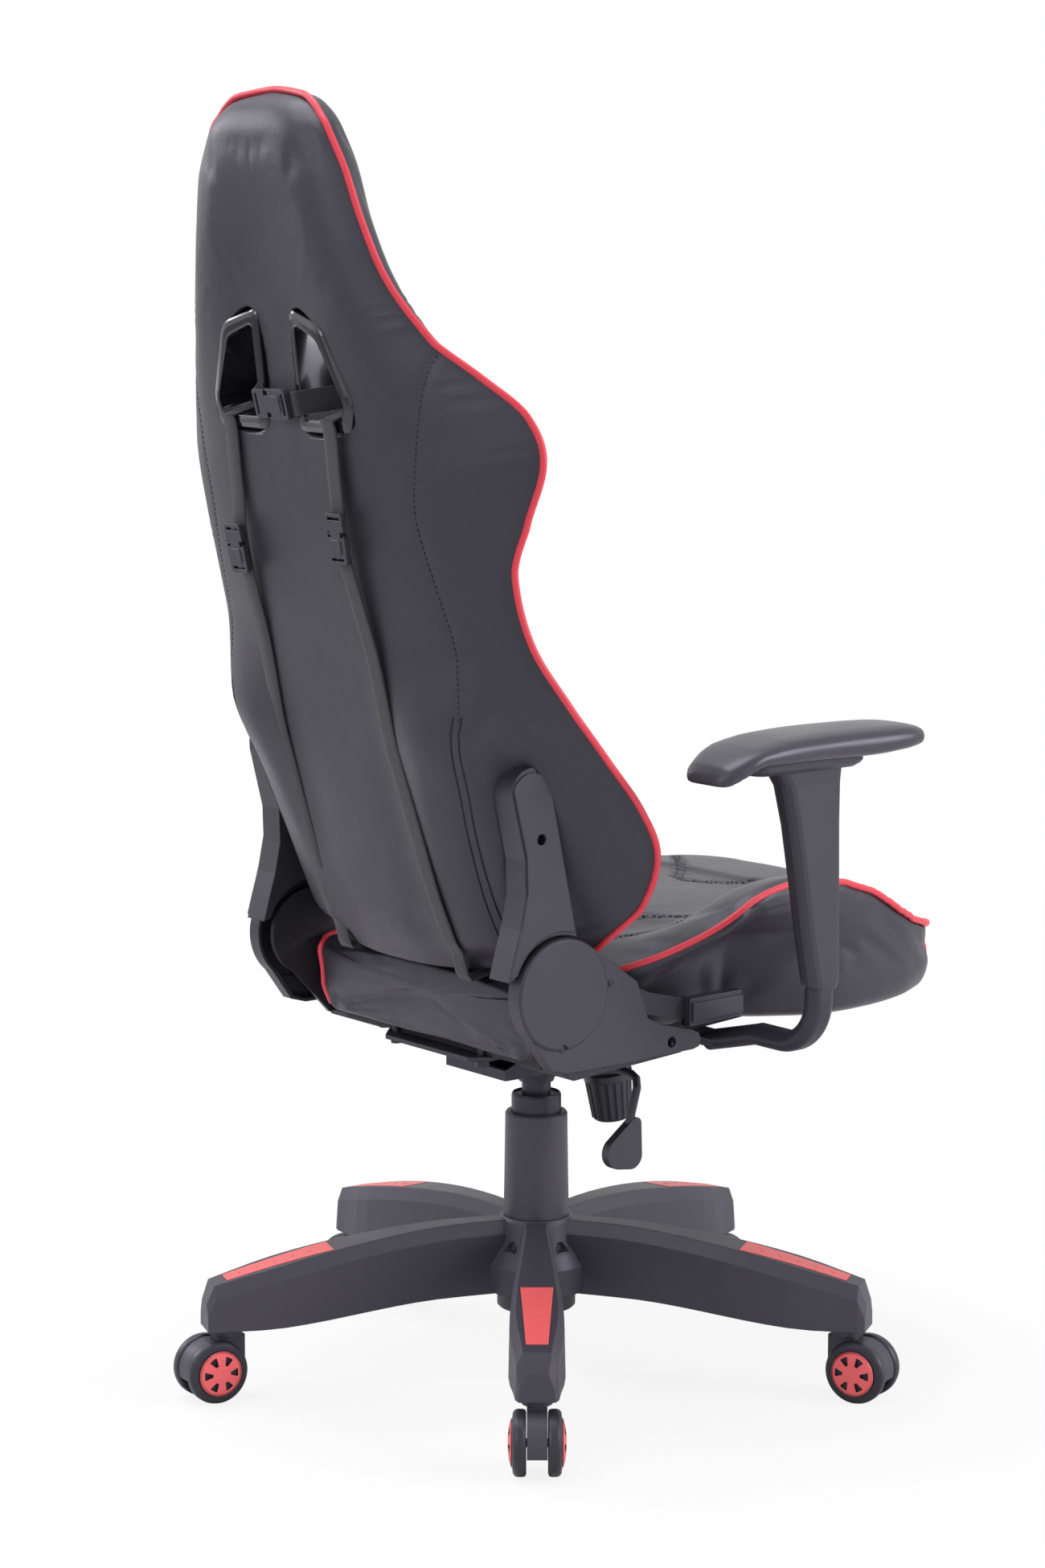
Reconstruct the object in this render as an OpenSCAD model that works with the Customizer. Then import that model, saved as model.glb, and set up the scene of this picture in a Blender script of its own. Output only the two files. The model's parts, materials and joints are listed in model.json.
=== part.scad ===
// Racing-style gaming chair: five-leg castor base, gas lift, tilt mechanism,
// bucket seat, reclining backrest with two harness openings, adjustable armrests.
// Millimetres. Origin on the floor under the column, +Z up, the sitter faces -Y.

/* [Castors] */
// Diameter of a castor wheel
wheel_d = 60; // [50:1:66]
// Width of the tread of one wheel
wheel_w = 12.5; // [9:0.5:16]
// Thickness of the fork between the two wheels
fork_w = 18.4; // [14:0.2:24]
// Distance of the axle behind the swivel stem
castor_trail = 18; // [12:1:22]
// Diameter of the swivel stem
stem_d = 11; // [8:0.5:12]
// Length of the swivel stem in its socket
stem_h = 30; // [20:1:32]
// Diameter of the wheel axle
axle_d = 8; // [5:0.5:9]

/* [Base] */
// Number of legs, each with a castor
leg_count = 5; // [5:1:5]
// Turn of the whole base about the column
base_turn = 15.5; // [-36:0.5:36]
// Reach of a leg from the column axis
leg_reach = 330; // [300:1:350]
// Distance of a castor stem from the column axis
stem_reach = 308; // [285:1:312]
// Height of a leg at its outer end
leg_end_h = 42; // [38:1:50]
// Height of the hub in the middle of the base
hub_h = 85; // [75:1:95]
// Diameter of the hub
hub_d = 76; // [70:1:84]
// Width of a leg beside the hub
leg_w_in = 30; // [26:1:36]
// Greatest width of a leg
leg_w_max = 52; // [44:1:56]
// Wall of the hollow legs
leg_wall = 3.5; // [2.5:0.5:5]
// Length of a leg's coloured insert
insert_l = 103; // [70:1:108]
// Depth of the insert's seat
insert_t = 3; // [2:0.5:4]

/* [Column] */
// Height of the column sleeve above the hub
sleeve_h = 102; // [90:1:115]
// Outer diameter of the column sleeve at its foot
sleeve_d = 63; // [60:0.5:66]
// Wall of the column sleeve
sleeve_t = 2.5; // [1.5:0.5:3.5]
// Outer diameter of the gas spring's outer tube
tube_d = 48; // [44:0.5:50]
// Wall of the outer tube
tube_t = 2; // [1.5:0.25:3]
// Height of the tube above the sleeve
tube_show = 19; // [10:1:26]
// Diameter of the gas cylinder
cylinder_d = 28; // [26:0.5:30]
// Diameter of the piston rod
rod_d = 10; // [8:0.5:12]
// Bare length of the cylinder with the seat at its lowest
cylinder_show = 11; // [8:1:18]

/* [Tilt mechanism] */
// Width of the mechanism's body
mech_w = 92; // [84:1:96]
// Length of the body in front of the column
mech_front = 112; // [108:1:120]
// Length of the body behind the column
mech_rear = 74; // [60:1:80]
// Sheet thickness of the body
mech_t = 3; // [2.5:0.5:4]
// Thickness of the tilting top plate
plate_t = 4; // [3:0.5:5]
// Diameter of the tilt axle
tilt_axle_d = 12; // [10:0.5:14]
// Distance of the tilt axle behind the column
tilt_y = 10; // [6:1:14]
// Distance of the tension knob in front of the column
knob_y = 86; // [80:1:90]
// Diameter of the tension knob
knob_d = 48; // [42:1:52]
// Height of the tension knob
knob_h = 48; // [40:1:50]
// Forward lean of the knob
knob_lean = 8; // [4:1:10]
// Diameter of the height lever's rod
lever_d = 8; // [6:0.5:9]
// Reach of the height lever from the column axis
lever_reach = 130; // [115:1:140]

/* [Seat] */
// Rake of the seat base, front edge higher
rake = 4; // [3:0.5:5]
// Thickness of the seat board
board_t = 10; // [8:0.5:12]
// Half width of the seat board
board_hw = 150; // [140:1:155]
// Half width of the seat at its side bolsters
seat_hw = 250; // [235:1:258]
// Depth of the seat in front of the column
seat_front = 375; // [355:1:385]
// Depth of the seat behind the column
seat_rear = 130; // [124:1:131]
// Height of the seat's middle panel over the board
seat_pad_h = 90; // [80:1:94]
// Height of the side bolsters over the middle panel
bolster_h = 47; // [30:1:52]

/* [Back] */
// Lean of the backrest at rest
lean = 13.9; // [10:0.1:16]
// Distance of the recline axis behind the column
hinge_y = 137; // [135:1:140]
// Height of the recline axis over the seat base
hinge_h = 84; // [80:1:86]
// Half distance between the outer faces of the hinge covers
hinge_x = 212; // [210:0.5:216]
// Diameter of the hinge cover
hinge_d = 102; // [96:1:104]
// Length of the backrest along its own axis
back_l = 816; // [790:1:830]
// Scale of the backrest's width
back_w = 1; // [0.96:0.01:1.02]
// Width of the strip between the two harness openings
opening_gap = 66; // [60:1:70]
// Wall of the bezel round each opening
bezel_w = 8; // [6:1:10]
// How far a bezel stands proud of the cover
bezel_lip = 3.2; // [2:0.2:4]
// Diameter of the tubes of the hidden back frame
back_tube_d = 22; // [18:1:24]

/* [Arms] */
// Distance of an armrest from the middle
arm_x = 320; // [312:1:325]
// Place of the arm upright in front of the column
arm_y = 71; // [66:1:74]
// Height of the top of an arm pad over the seat base
arm_pad_z = 310; // [300:1:316]
// Length of an arm pad
arm_pad_l = 248; // [240:1:262]
// Width of an arm pad
arm_pad_w = 84; // [70:1:92]
// Thickness of an arm pad
arm_pad_t = 26; // [22:1:30]
// Width of the oval arm bar
bar_w = 28; // [26:1:29]
// Thickness of the oval arm bar
bar_t = 19; // [15:1:20]

/* [Soft goods] */
// Half length of the head pillow
head_pillow_hl = 132; // [115:1:140]
// Half length of the lumbar pillow
lumbar_hl = 155; // [140:1:165]
// Width of the vertical straps
strap_w = 20; // [16:1:24]
// Thickness of the straps
strap_t = 1.8; // [1.4:0.2:2.4]

/* [Hidden] */
$fn = 64;
// Gap of a running fit, radial
fit = 0.06;
// Gap between neighbours that move past each other
run = 0.5;

leg_z = wheel_d + 8;
hub_z = leg_z + hub_h;
sleeve_z = hub_z + sleeve_h;
tube_z = sleeve_z + tube_show;
mech_z = tube_z + cylinder_show;
seat_z = mech_z + 60.5;
hinge_z = seat_z + hinge_h - hinge_y * tan(rake);
leg_dirs = [for (i = [0 : leg_count - 1]) 126 + base_turn + i * 360 / leg_count];
castor_turns = [0, -12, -35.5, 42.5, 12];

// ---------- helpers ----------

// Value between a and b, eased at both ends
function ease(a, b, t) = a + (b - a) * (3 - 2 * min(1, max(0, t))) * pow(min(1, max(0, t)), 2);

// Smooth curve through a table of rows [position, values...]
function row_at(table, s, i = 0) =
  i >= len(table) - 2 || s <= table[i + 1][0]
    ? let (a = table[max(0, i - 1)], b = table[i], c = table[i + 1],
           d = table[min(len(table) - 1, i + 2)],
           t = (s - b[0]) / (c[0] - b[0]))
      [for (k = [1 : len(b) - 1])
        0.5 * (2 * b[k] + (c[k] - a[k]) * t + (2 * a[k] - 5 * b[k] + 4 * c[k] - d[k]) * t * t
          + (3 * b[k] - a[k] - 3 * c[k] + d[k]) * t * t * t)]
    : row_at(table, s, i + 1);

// Closed solid through rings of equal point counts, the rings seen anticlockwise
// from the far end
module loft(rings) {
  n = len(rings[0]);
  m = len(rings);
  polyhedron(
    points = [for (r = rings) each r],
    faces = concat(
      [[for (i = [0 : n - 1]) i]],
      [for (j = [0 : m - 2]) for (i = [0 : n - 1])
        [j * n + i, (j + 1) * n + i, (j + 1) * n + (i + 1) % n]],
      [for (j = [0 : m - 2]) for (i = [0 : n - 1])
        [j * n + i, (j + 1) * n + (i + 1) % n, j * n + (i + 1) % n]],
      [[for (i = [n - 1 : -1 : 0]) (m - 1) * n + i]]
    )
  );
}

// The same list from its other end, which turns a ring about
function reversed(l) = [for (i = [len(l) - 1 : -1 : 0]) l[i]];

// Rectangle with rounded corners, centred
module round_rect(size, r) {
  hull() for (sx = [-1, 1]) for (sy = [-1, 1])
    translate([sx * (size[0] / 2 - r), sy * (size[1] / 2 - r)]) circle(r, $fn = 32);
}

// One copy on the sitter's right, or its mirror image on the left
module on_side(right) {
  if (right) children();
  else mirror([1, 0, 0]) children();
}

// Frame of the raked seat base, and frame of the leaning back at its hinge
module on_seat() translate([0, 0, seat_z]) rotate([-rake, 0, 0]) children();
module on_back() translate([0, hinge_y, hinge_z]) rotate([-lean, 0, 0]) children();

// ---------- base ----------

// Share of the leg's length at radius r, and the leg's section there
function leg_share(r) = min(1, max(0, (r - hub_d / 2) / (leg_reach - hub_d / 2)));
function leg_top(r) =
  leg_z + leg_end_h + (hub_h - 1.5 - leg_end_h) * (1 - pow(max(0, leg_share(r) - 0.12) / 0.88, 1.7));
function leg_under(r) = leg_z + 13 * (1 - ease(0, 1, (leg_share(r) - 0.2) / 0.65));
function leg_half(r) = leg_w_in / 2 + (leg_w_max - leg_w_in) / 2
  * (leg_share(r) < 0.75 ? ease(0.1, 1, leg_share(r) / 0.75)
                         : ease(1, 0.4, (leg_share(r) - 0.75) / 0.25));
leg_bevel = 6.5;
tip_slope = 16;

function leg_ring(r, drop = 0, trim = 0) =
  let (h = leg_half(r) - trim, t = leg_top(r) - drop, b = leg_under(r))
  [[r, -h, b], [r, h, b], [r, h - 1, t - 2 * leg_bevel], [r, h - leg_bevel, t],
   [r, leg_bevel - h, t], [r, 1 - h, t - 2 * leg_bevel]];

module leg() {
  tip = leg_reach - 7;
  loft(concat(
    [for (r = [hub_d / 4 : (tip - hub_d / 4) / 14 : tip + 0.01]) leg_ring(r)],
    [leg_ring(leg_reach, tip_slope, 3)]
  ));
}

// Hollows between the ribs under a leg
module leg_hollows() {
  ribs = 4;
  r0 = hub_d / 2 + 12;
  pitch = (stem_reach - stem_d - 8 - r0) / ribs;
  for (i = [0 : ribs - 1]) {
    a = r0 + i * pitch;
    b = a + pitch - leg_wall;
    ha = leg_half(a) - leg_wall - 1;
    hb = leg_half(b) - leg_wall - 1;
    top = leg_top(b) - leg_wall - insert_t - 2 * leg_bevel * 0.5;
    translate([0, 0, leg_z - 1])
      linear_extrude(top - leg_z + 1) polygon([[a, -ha], [b, -hb], [b, hb], [a, ha]]);
  }
}

insert_r1 = leg_reach - 20;
insert_r0 = insert_r1 - insert_l;
insert_half = [leg_half(insert_r0) - leg_bevel - 3, leg_half(insert_r1) - leg_bevel - 4];

// Insert of a leg, grown by gap on its sides and up to rise over the leg
module insert_solid(gap, sink, rise) {
  steps = 6;
  loft([for (i = [0 : steps])
    let (t = i / steps,
         r = insert_r0 - gap + t * (insert_l + 2 * gap),
         h = insert_half[0] + t * (insert_half[1] - insert_half[0]) + gap,
         top = leg_top(r) + rise, low = leg_top(r) - insert_t - sink)
    [[r, -h, low], [r, h, low], [r, h, top], [r, -h, top]]]);
}

// Chevron ridges on the insert
module chevrons() {
  count = 5;
  for (i = [1 : count]) {
    r = insert_r0 + i * insert_l / (count + 1);
    h = (insert_half[0] + (insert_half[1] - insert_half[0]) * i / (count + 1)) * 0.62;
    translate([r, 0, leg_top(r + 4)])
      linear_extrude(1.1)
        polygon([[-4, -h], [-2, -h], [4, 0], [-2, h], [-4, h], [2, 0]]);
  }
}

module star_base() {
  color("#2b2b2e")
  difference() {
    union() {
      for (d = leg_dirs) rotate([0, 0, d]) leg();
      rotate_extrude() polygon([
        [0, leg_z - 6], [hub_d / 2 - 2, leg_z - 6], [hub_d / 2, leg_z - 4],
        [hub_d / 2, leg_z + 14], [hub_d / 2 + 14, leg_z + 14], [hub_d / 2 + 15, leg_z + 40],
        [hub_d / 2 + 8, leg_z + 52], [hub_d / 2 + 1, leg_z + 62],
        [hub_d / 2 - 2, hub_z - 3], [hub_d / 2 - 4, hub_z], [0, hub_z]]);
      for (d = leg_dirs) rotate([0, 0, d])
        translate([stem_reach, 0, leg_z]) cylinder(d = stem_d + 10, h = leg_end_h - 12);
    }
    for (d = leg_dirs) rotate([0, 0, d]) {
      leg_hollows();
      insert_solid(0.15, 0.1, 5);
      translate([stem_reach, 0, leg_z - 1]) cylinder(d = stem_d + 2 * fit, h = stem_h + 1);
    }
    for (d = leg_dirs) rotate([0, 0, d + 180 / leg_count])
      translate([hub_d / 2 + 1, 0, hub_z - 26]) rotate([0, 90, 0])
        cylinder(d1 = 6, d2 = 16, h = 8, center = true);
    translate([0, 0, leg_z - 7]) cylinder(d = tube_d, h = hub_h + 8);
  }
}

module base_inserts() {
  color("#d8404a") for (d = leg_dirs) rotate([0, 0, d]) {
    insert_solid(0, 0, 0.4);
    chevrons();
  }
}

// ---------- castors ----------

axle_h = wheel_d / 2;
wheel_in = fork_w / 2 + run;
wheel_out = wheel_in + wheel_w;
cap_r = 0.72 * wheel_d / 2;
cap_bulge = 3.8;
neck_d = 28;

module on_castor(i) {
  rotate([0, 0, leg_dirs[i - 1]]) translate([stem_reach, 0, 0])
    rotate([0, 0, castor_turns[i - 1]]) children();
}

module castor_fork(i) {
  hood_r = wheel_d / 2 - 1.5;
  color("#26262a") on_castor(i) {
    difference() {
      rotate([90, 0, 0]) linear_extrude(fork_w, center = true) difference() {
        union() {
          translate([castor_trail, axle_h]) circle(hood_r);
          translate([-neck_d / 2, axle_h - 4]) square([neck_d, wheel_d - axle_h + 5]);
        }
        translate([-wheel_d, -1]) square([3 * wheel_d, axle_h - 6]);
      }
      translate([castor_trail, 0, axle_h]) rotate([90, 0, 0])
        cylinder(r = hood_r - 6, h = fork_w / 3, center = true);
    }
    translate([castor_trail, 0, axle_h]) rotate([90, 0, 0])
      cylinder(d = axle_d + 6, h = fork_w, center = true);
    translate([castor_trail, 0, axle_h]) rotate([90, 0, 0])
      cylinder(d = axle_d, h = 2 * (wheel_out - 2.5), center = true);
    translate([0, 0, wheel_d + 1]) cylinder(d = neck_d, h = leg_z - run - wheel_d - 1);
    translate([0, 0, wheel_d]) cylinder(d = stem_d, h = leg_z + stem_h - 1 - wheel_d);
  }
}

module castor_wheel(i, side) {
  r = wheel_d / 2;
  on_castor(i) translate([castor_trail, 0, axle_h]) rotate([-90 * side, 0, 0]) {
    color("#1d1d20") difference() {
      rotate_extrude() polygon([
        [0, wheel_in + 1], [8, wheel_in], [r - 3, wheel_in], [r - 0.8, wheel_in + 0.8],
        [r, wheel_in + 3], [r, wheel_out - 5], [r - 0.7, wheel_out - 2.5],
        [r - 3, wheel_out - 0.6], [cap_r + 1, wheel_out], [cap_r, wheel_out - 1],
        [0, wheel_out - 1]]);
      translate([0, 0, wheel_in - 1]) cylinder(d = axle_d + 2 * fit, h = wheel_w - 0.9);
    }
    color("#d8404a") difference() {
      rotate_extrude() polygon([
        [0, wheel_out - 1], [cap_r, wheel_out - 1], [cap_r, wheel_out + 0.6],
        [cap_r * 0.7, wheel_out + cap_bulge * 0.68], [cap_r * 0.35, wheel_out + cap_bulge * 0.94],
        [0, wheel_out + cap_bulge]]);
      for (a = [0 : 60 : 300]) rotate([0, 0, a]) translate([0, 0, wheel_out - 0.2])
        linear_extrude(cap_bulge + 2)
          polygon([[cap_r * 0.42, -1.4], [cap_r * 0.8, -4.2], [cap_r * 0.8, 4.2],
                   [cap_r * 0.42, 1.4]]);
    }
  }
}

// ---------- gas lift ----------

tube_low = leg_z - 6;

module column_tube() {
  color("#303034") difference() {
    translate([0, 0, tube_low]) rotate_extrude() polygon([
      [0, 0], [tube_d / 2, 0], [tube_d / 2, tube_z - tube_low - 3],
      [tube_d / 2 - 1, tube_z - tube_low - 0.8], [tube_d / 2 - 3, tube_z - tube_low],
      [0, tube_z - tube_low]]);
    translate([0, 0, tube_low + 4])
      cylinder(d = tube_d - 2 * tube_t, h = tube_z - tube_low);
    translate([0, 0, tube_low - 1]) cylinder(d = rod_d + 2 * fit, h = 10);
  }
}

bush_h = 60;

module guide_bush() {
  color("#17171a") translate([0, 0, tube_z - bush_h - 2]) difference() {
    cylinder(d = tube_d - 2 * tube_t, h = bush_h);
    translate([0, 0, -1]) cylinder(d = cylinder_d + 2 * fit, h = bush_h + 2);
  }
}

module column_sleeve() {
  color("#2b2b2e") translate([0, 0, hub_z]) difference() {
    rotate_extrude() polygon([
      [0, 0], [sleeve_d / 2, 0], [sleeve_d / 2 - 1.5, sleeve_h - 2],
      [sleeve_d / 2 - 3, sleeve_h], [0, sleeve_h]]);
    translate([0, 0, -1]) cylinder(d = sleeve_d - 2 * sleeve_t - 3, h = sleeve_h - 5);
    cylinder(d = tube_d + 1, h = sleeve_h + 1);
  }
}

module thrust_bearing() {
  color("#b8b8bc") translate([0, 0, tube_low + 4]) difference() {
    cylinder(d = tube_d - 2 * tube_t - 8, h = 6);
    translate([0, 0, -1]) cylinder(d = rod_d + 1, h = 8);
  }
}

cylinder_low = tube_low + 22;

module piston_rod() {
  color("#c8c8cc") {
    translate([0, 0, tube_low - 5]) cylinder(d = rod_d, h = 40 + cylinder_low - tube_low);
    translate([0, 0, tube_low + 10 + run]) cylinder(d = rod_d + 8, h = 4);
    translate([0, 0, tube_low - 5]) cylinder(d = rod_d + 8, h = 4.5);
  }
}

cylinder_top = mech_z + 12;

module gas_cylinder() {
  color("#3a3a3e") difference() {
    union() {
      translate([0, 0, cylinder_low]) cylinder(d = cylinder_d, h = cylinder_top - cylinder_low);
      translate([0, 0, cylinder_top - 1]) cylinder(d = 8, h = 4);
    }
    translate([0, 0, cylinder_low - 1]) cylinder(d = rod_d + 2 * fit, h = 150);
  }
}

// ---------- tilt mechanism ----------

mech_floor = mech_z + 17;
tilt_z = mech_z + 37;
lever_z = mech_z + 28;
lever_y = -20;
cup_d = 44;
cup_h = 18;
bolt_d = 8;

module on_knob() translate([0, -knob_y, mech_floor]) rotate([-knob_lean, 0, 0]) children();

// Plate of thickness t standing across X from x0 on, its outline given in Y and Z
module upright(x0, t) translate([x0, 0, 0]) rotate([90, 0, 90]) linear_extrude(t) children();

module mech_housing() {
  color("#2c2c30") difference() {
    union() {
      difference() {
        upright(-mech_w / 2, mech_w) translate([0, mech_floor]) polygon([
          [-mech_front, 6], [-mech_front + 6, 0], [mech_rear, 0], [mech_rear, 10],
          [mech_rear - 26, 21], [tilt_y + 16, 29], [-mech_front, 29]]);
        translate([-mech_w / 2 + mech_t, mech_t - mech_front, mech_floor + mech_t])
          cube([mech_w - 2 * mech_t, mech_front + mech_rear - 2 * mech_t, 60]);
      }
      rotate_extrude() polygon([
        [0, mech_z], [cylinder_d / 2 + 3, mech_z], [cylinder_d / 2 + 4, mech_z + 5],
        [cylinder_d / 2 + 6.5, mech_z + 5], [cylinder_d / 2 + 8, mech_z + 10],
        [cylinder_d / 2 + 12, mech_z + 12], [cylinder_d / 2 + 15, mech_floor - 1],
        [cylinder_d / 2 + 15, mech_floor + 1], [0, mech_floor + 1]]);
      on_knob() translate([0, 0, -cup_h]) {
        cylinder(d = cup_d, h = cup_h + 1.5);
        for (z = [3 : 5 : cup_h - 3]) translate([0, 0, z]) cylinder(d = cup_d + 2.4, h = 2);
      }
    }
    translate([0, 0, mech_z - 1]) cylinder(d = cylinder_d, h = 40);
    translate([0, 0, mech_floor + mech_t - 1.5]) cylinder(d = cylinder_d + 16, h = 10);
    on_knob() translate([0, 0, 3 - cup_h]) cylinder(d = cup_d - 10, h = cup_h + 5);
    on_knob() translate([0, 0, -cup_h - 1]) cylinder(d = bolt_d + 2 * fit, h = 6);
    translate([-mech_w / 2 - 1, lever_y - lever_d / 2 - 1.2, lever_z - lever_d / 2 - 6])
      cube([mech_t + 2, lever_d + 2.4, lever_d + 12]);
    translate([0, tilt_y, tilt_z]) rotate([0, 90, 0])
      cylinder(d = tilt_axle_d, h = mech_w + 2, center = true);
  }
}

module tilt_axle() {
  color("#9a9a9e") translate([0, tilt_y, tilt_z]) rotate([0, 90, 0]) {
    cylinder(d = tilt_axle_d, h = mech_w + 14, center = true);
    for (s = [-1, 1]) translate([0, 0, s * (mech_w / 2 + 6.5)])
      cylinder(d = tilt_axle_d + 5, h = 3, center = true);
  }
}

// Coil of round wire, turns given, its lowest point on z = 0
module coil(r, wire, turns, h) {
  steps = turns * 14;
  loft([for (i = [0 : steps])
    let (a = i * 360 / 14, z = wire / 2 + (h - wire) * i / steps)
    [for (k = [5 : -1 : 0]) let (q = r + wire / 2 * cos(k * 60))
      [q * cos(a), q * sin(a), z + wire / 2 * sin(k * 60)]]]);
}

module tilt_spring() {
  color("#8f8f94") on_knob() translate([0, 0, 3 - cup_h]) coil(11, 4, 5, 36);
}

knob_top = -cup_h - 2.5;

module tension_knob() {
  color("#1f1f22") on_knob() {
    translate([0, 0, knob_top - knob_h]) {
      cylinder(d1 = knob_d - 14, d2 = knob_d - 12, h = 3);
      translate([0, 0, 3]) cylinder(d1 = knob_d - 11, d2 = knob_d - 4, h = knob_h - 10);
      translate([0, 0, knob_h - 7]) cylinder(d = knob_d, h = 7);
      for (a = [0 : 20 : 340]) rotate([0, 0, a]) translate([knob_d / 2 - 6.2, 0, 2.5])
        rotate([0, 5.2, 0]) cylinder(d = 4.4, h = knob_h - 8);
    }
    translate([0, 0, knob_top - 1]) cylinder(d = bolt_d, h = cup_h + 26);
    translate([0, 0, 21.5]) cylinder(d = bolt_d + 9, h = 5);
  }
}

module tilt_latch() {
  color("#8a8a8e") difference() {
    translate([-mech_w / 2 + mech_t + run, lever_y - 10, mech_floor + mech_t + 0.3])
      cube([10, 20, 13]);
    translate([-mech_w / 2, lever_y - lever_d / 2 - 0.3, lever_z - lever_d / 2 - 2.2])
      cube([20, lever_d + 0.6, 16]);
  }
}

// Round rod through a list of points
module bent_rod(points, d) {
  n = len(points);
  loft([for (i = [0 : n - 1])
    let (a = points[i] - points[max(0, i - 1)], b = points[min(n - 1, i + 1)] - points[i],
         v = (norm(a) > 0 ? a / norm(a) : a) + (norm(b) > 0 ? b / norm(b) : b),
         t = v / norm(v), c = cross(t, [0, 1, 0]), u = c / norm(c), w = cross(u, t))
    [for (k = [15 : -1 : 0]) points[i] + d / 2 * (u * cos(k * 22.5) + w * sin(k * 22.5))]]);
}

module lift_lever() {
  w = lever_reach;
  color("#2a2a2d") bent_rod([
    [-4, 0, lever_z], [-26, lever_y, lever_z], [12 - w, lever_y, lever_z - 4],
    [4 - w, lever_y + 0.5, lever_z - 7], [-w, lever_y + 3, lever_z - 15],
    [-w, lever_y + 13, lever_z - 50]], lever_d);
}

module lever_paddle() {
  color("#202023") difference() {
    upright(-lever_reach - 4.5, 9) hull() {
      translate([lever_y + 7, lever_z - 48]) circle(6, $fn = 32);
      translate([lever_y + 27, lever_z - 74]) circle(15, $fn = 32);
      translate([lever_y + 13, lever_z - 78]) circle(13, $fn = 32);
    }
    bent_rod([[-lever_reach, lever_y + 3, lever_z - 15],
      [-lever_reach, lever_y + 13, lever_z - 50]], lever_d);
  }
}

arm_plate_t = 8;
seat_bolt_d = 8;
// Places of the bolts through plate and board, seat frame
plate_bolts = [for (x = [-66, 66]) for (y = [-95, 118]) [x, y, -plate_t]];
bar_bolts = [for (x = [-138, -106, 106, 138]) [x, -arm_y, -arm_plate_t]];
hinge_bolts = [for (x = [-126, 126]) for (y = [5, 88]) [x, y, -5]];

module bolt_holes(places) {
  for (p = places) translate([p[0], p[1], -20]) cylinder(d = seat_bolt_d, h = 20 + board_t + 5);
}

module seat_plate() {
  color("#333337") difference() {
    union() {
      on_seat() translate([0, 0, -plate_t]) difference() {
        translate([-80, -110, 0]) cube([160, 243, plate_t]);
        for (x = [-80, 80]) for (y = [-110, 133]) translate([x, y, -1]) rotate([0, 0, 45])
          cube([22, 22, 20], center = true);
      }
      for (s = [-1, 1]) upright(s > 0 ? mech_w / 2 + 1 : -mech_w / 2 - 4, 3) {
        translate([tilt_y, tilt_z]) circle(13);
        polygon([[tilt_y - 24, seat_z - 1], [tilt_y - 12, tilt_z - 4], [tilt_y + 12, tilt_z - 4],
                 [tilt_y + 30, seat_z - 5]]);
      }
    }
    translate([0, tilt_y, tilt_z]) rotate([0, 90, 0])
      cylinder(d = tilt_axle_d + 2 * fit, h = 2 * mech_w, center = true);
    on_seat() bolt_holes(plate_bolts);
  }
}

// ---------- seat ----------

board_front = 262;

module seat_board() {
  color("#232326") on_seat() difference() {
    translate([-board_hw, -board_front, 0])
      cube([2 * board_hw, board_front + seat_rear - 14, board_t]);
    bolt_holes(concat(plate_bolts, bar_bolts, hinge_bolts));
  }
}

module seat_bolts() {
  color("#8f8f94") on_seat() for (p = concat(plate_bolts, bar_bolts, hinge_bolts))
    translate(p) {
      cylinder(d = seat_bolt_d, h = board_t - p[2] - 2);
      translate([0, 0, -1.5]) cylinder(d = 17, h = 1.5);
      translate([0, 0, -6.5]) cylinder(d = 13, h = 5);
    }
}

// Sections of the seat from rear to front: place, half width at the ridge and at the
// bottom, height of ridge, of middle panel and of the bottom's sides
seat_rows = [
  [-seat_rear, 168, 164, 74, 80, 14],
  [-118, 175, 172, 80, 85, 12.5],
  [-54, 176, 175, 83, 90, 12.5],
  [-38, 188, 176, 88, 92, 12.5],
  [-8, 213, 177, 100, 98, 13],
  [27, 244, 177, 122, 99, 14],
  [78, 249, 177, 143, 99, 12],
  [120, 250, 203, 147, 98, 8],
  [168, 250, 232, 141, 96, 5],
  [225, 245, 236, 119, 92, 2],
  [272, 236, 230, 89, 88, 1],
  [310, 220, 214, 71, 84, 1],
  [334, 200, 195, 63, 79, 2],
  [350, 172, 167, 59, 73, 6],
  [362, 136, 130, 56, 67, 14],
  [371, 92, 84, 53, 62, 26],
  [seat_front, 52, 46, 50, 54, 40]];

// Half of a section: x and height, from the bottom's middle to the top's middle
function seat_half(r, roof) =
  let (w = r[0], v = r[1], e = bolster_h / 47, p = seat_pad_h / 90,
       m = r[3] * p, h = m + (r[2] - r[3]) * e, z = r[4], g = h - z,
       c = min(board_hw + 0.5, v - 18))
  [[c, roof], [c + 1, min(z - 1, roof + 0.3)], [max(c + 4, v - 24), z - 1], [v - 7, z + 5], [v, z + 18],
   [v + 0.1 * (w - v), z + 0.42 * g],
   [v + 0.24 * (w - v), z + 0.62 * g], [v + 0.72 * (w - v), z + 0.8 * g],
   [w - 1, z + 0.91 * g], [w - 3, h - 3], [w - 10, h - 0.5],
   [w - 0.09 * w, h - 1], [w * 0.78, m + (h - m) * 0.8], [w * 0.66, m + (h - m) * 0.32],
   [w * 0.5, m + 0.5], [w * 0.25, m + 2.5]];

function seat_ring(y) =
  let (r = row_at(seat_rows, y), k = seat_hw / 250,
       h = seat_half(r, y < board_front + 16 ? board_t + 0.3 : r[4] - 0.6))
  concat([for (p = h) [p[0] * k, -y, p[1]]], [for (p = reversed(h)) [-p[0] * k, -y, p[1]]]);

module seat_cushion() {
  color("#2a2a30") on_seat() loft([
    for (y = [for (i = [0 : 35]) let (t = i / 35) -seat_rear + (seat_front + seat_rear) * t])
      seat_ring(y)]);
}

// ---------- arms ----------

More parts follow.
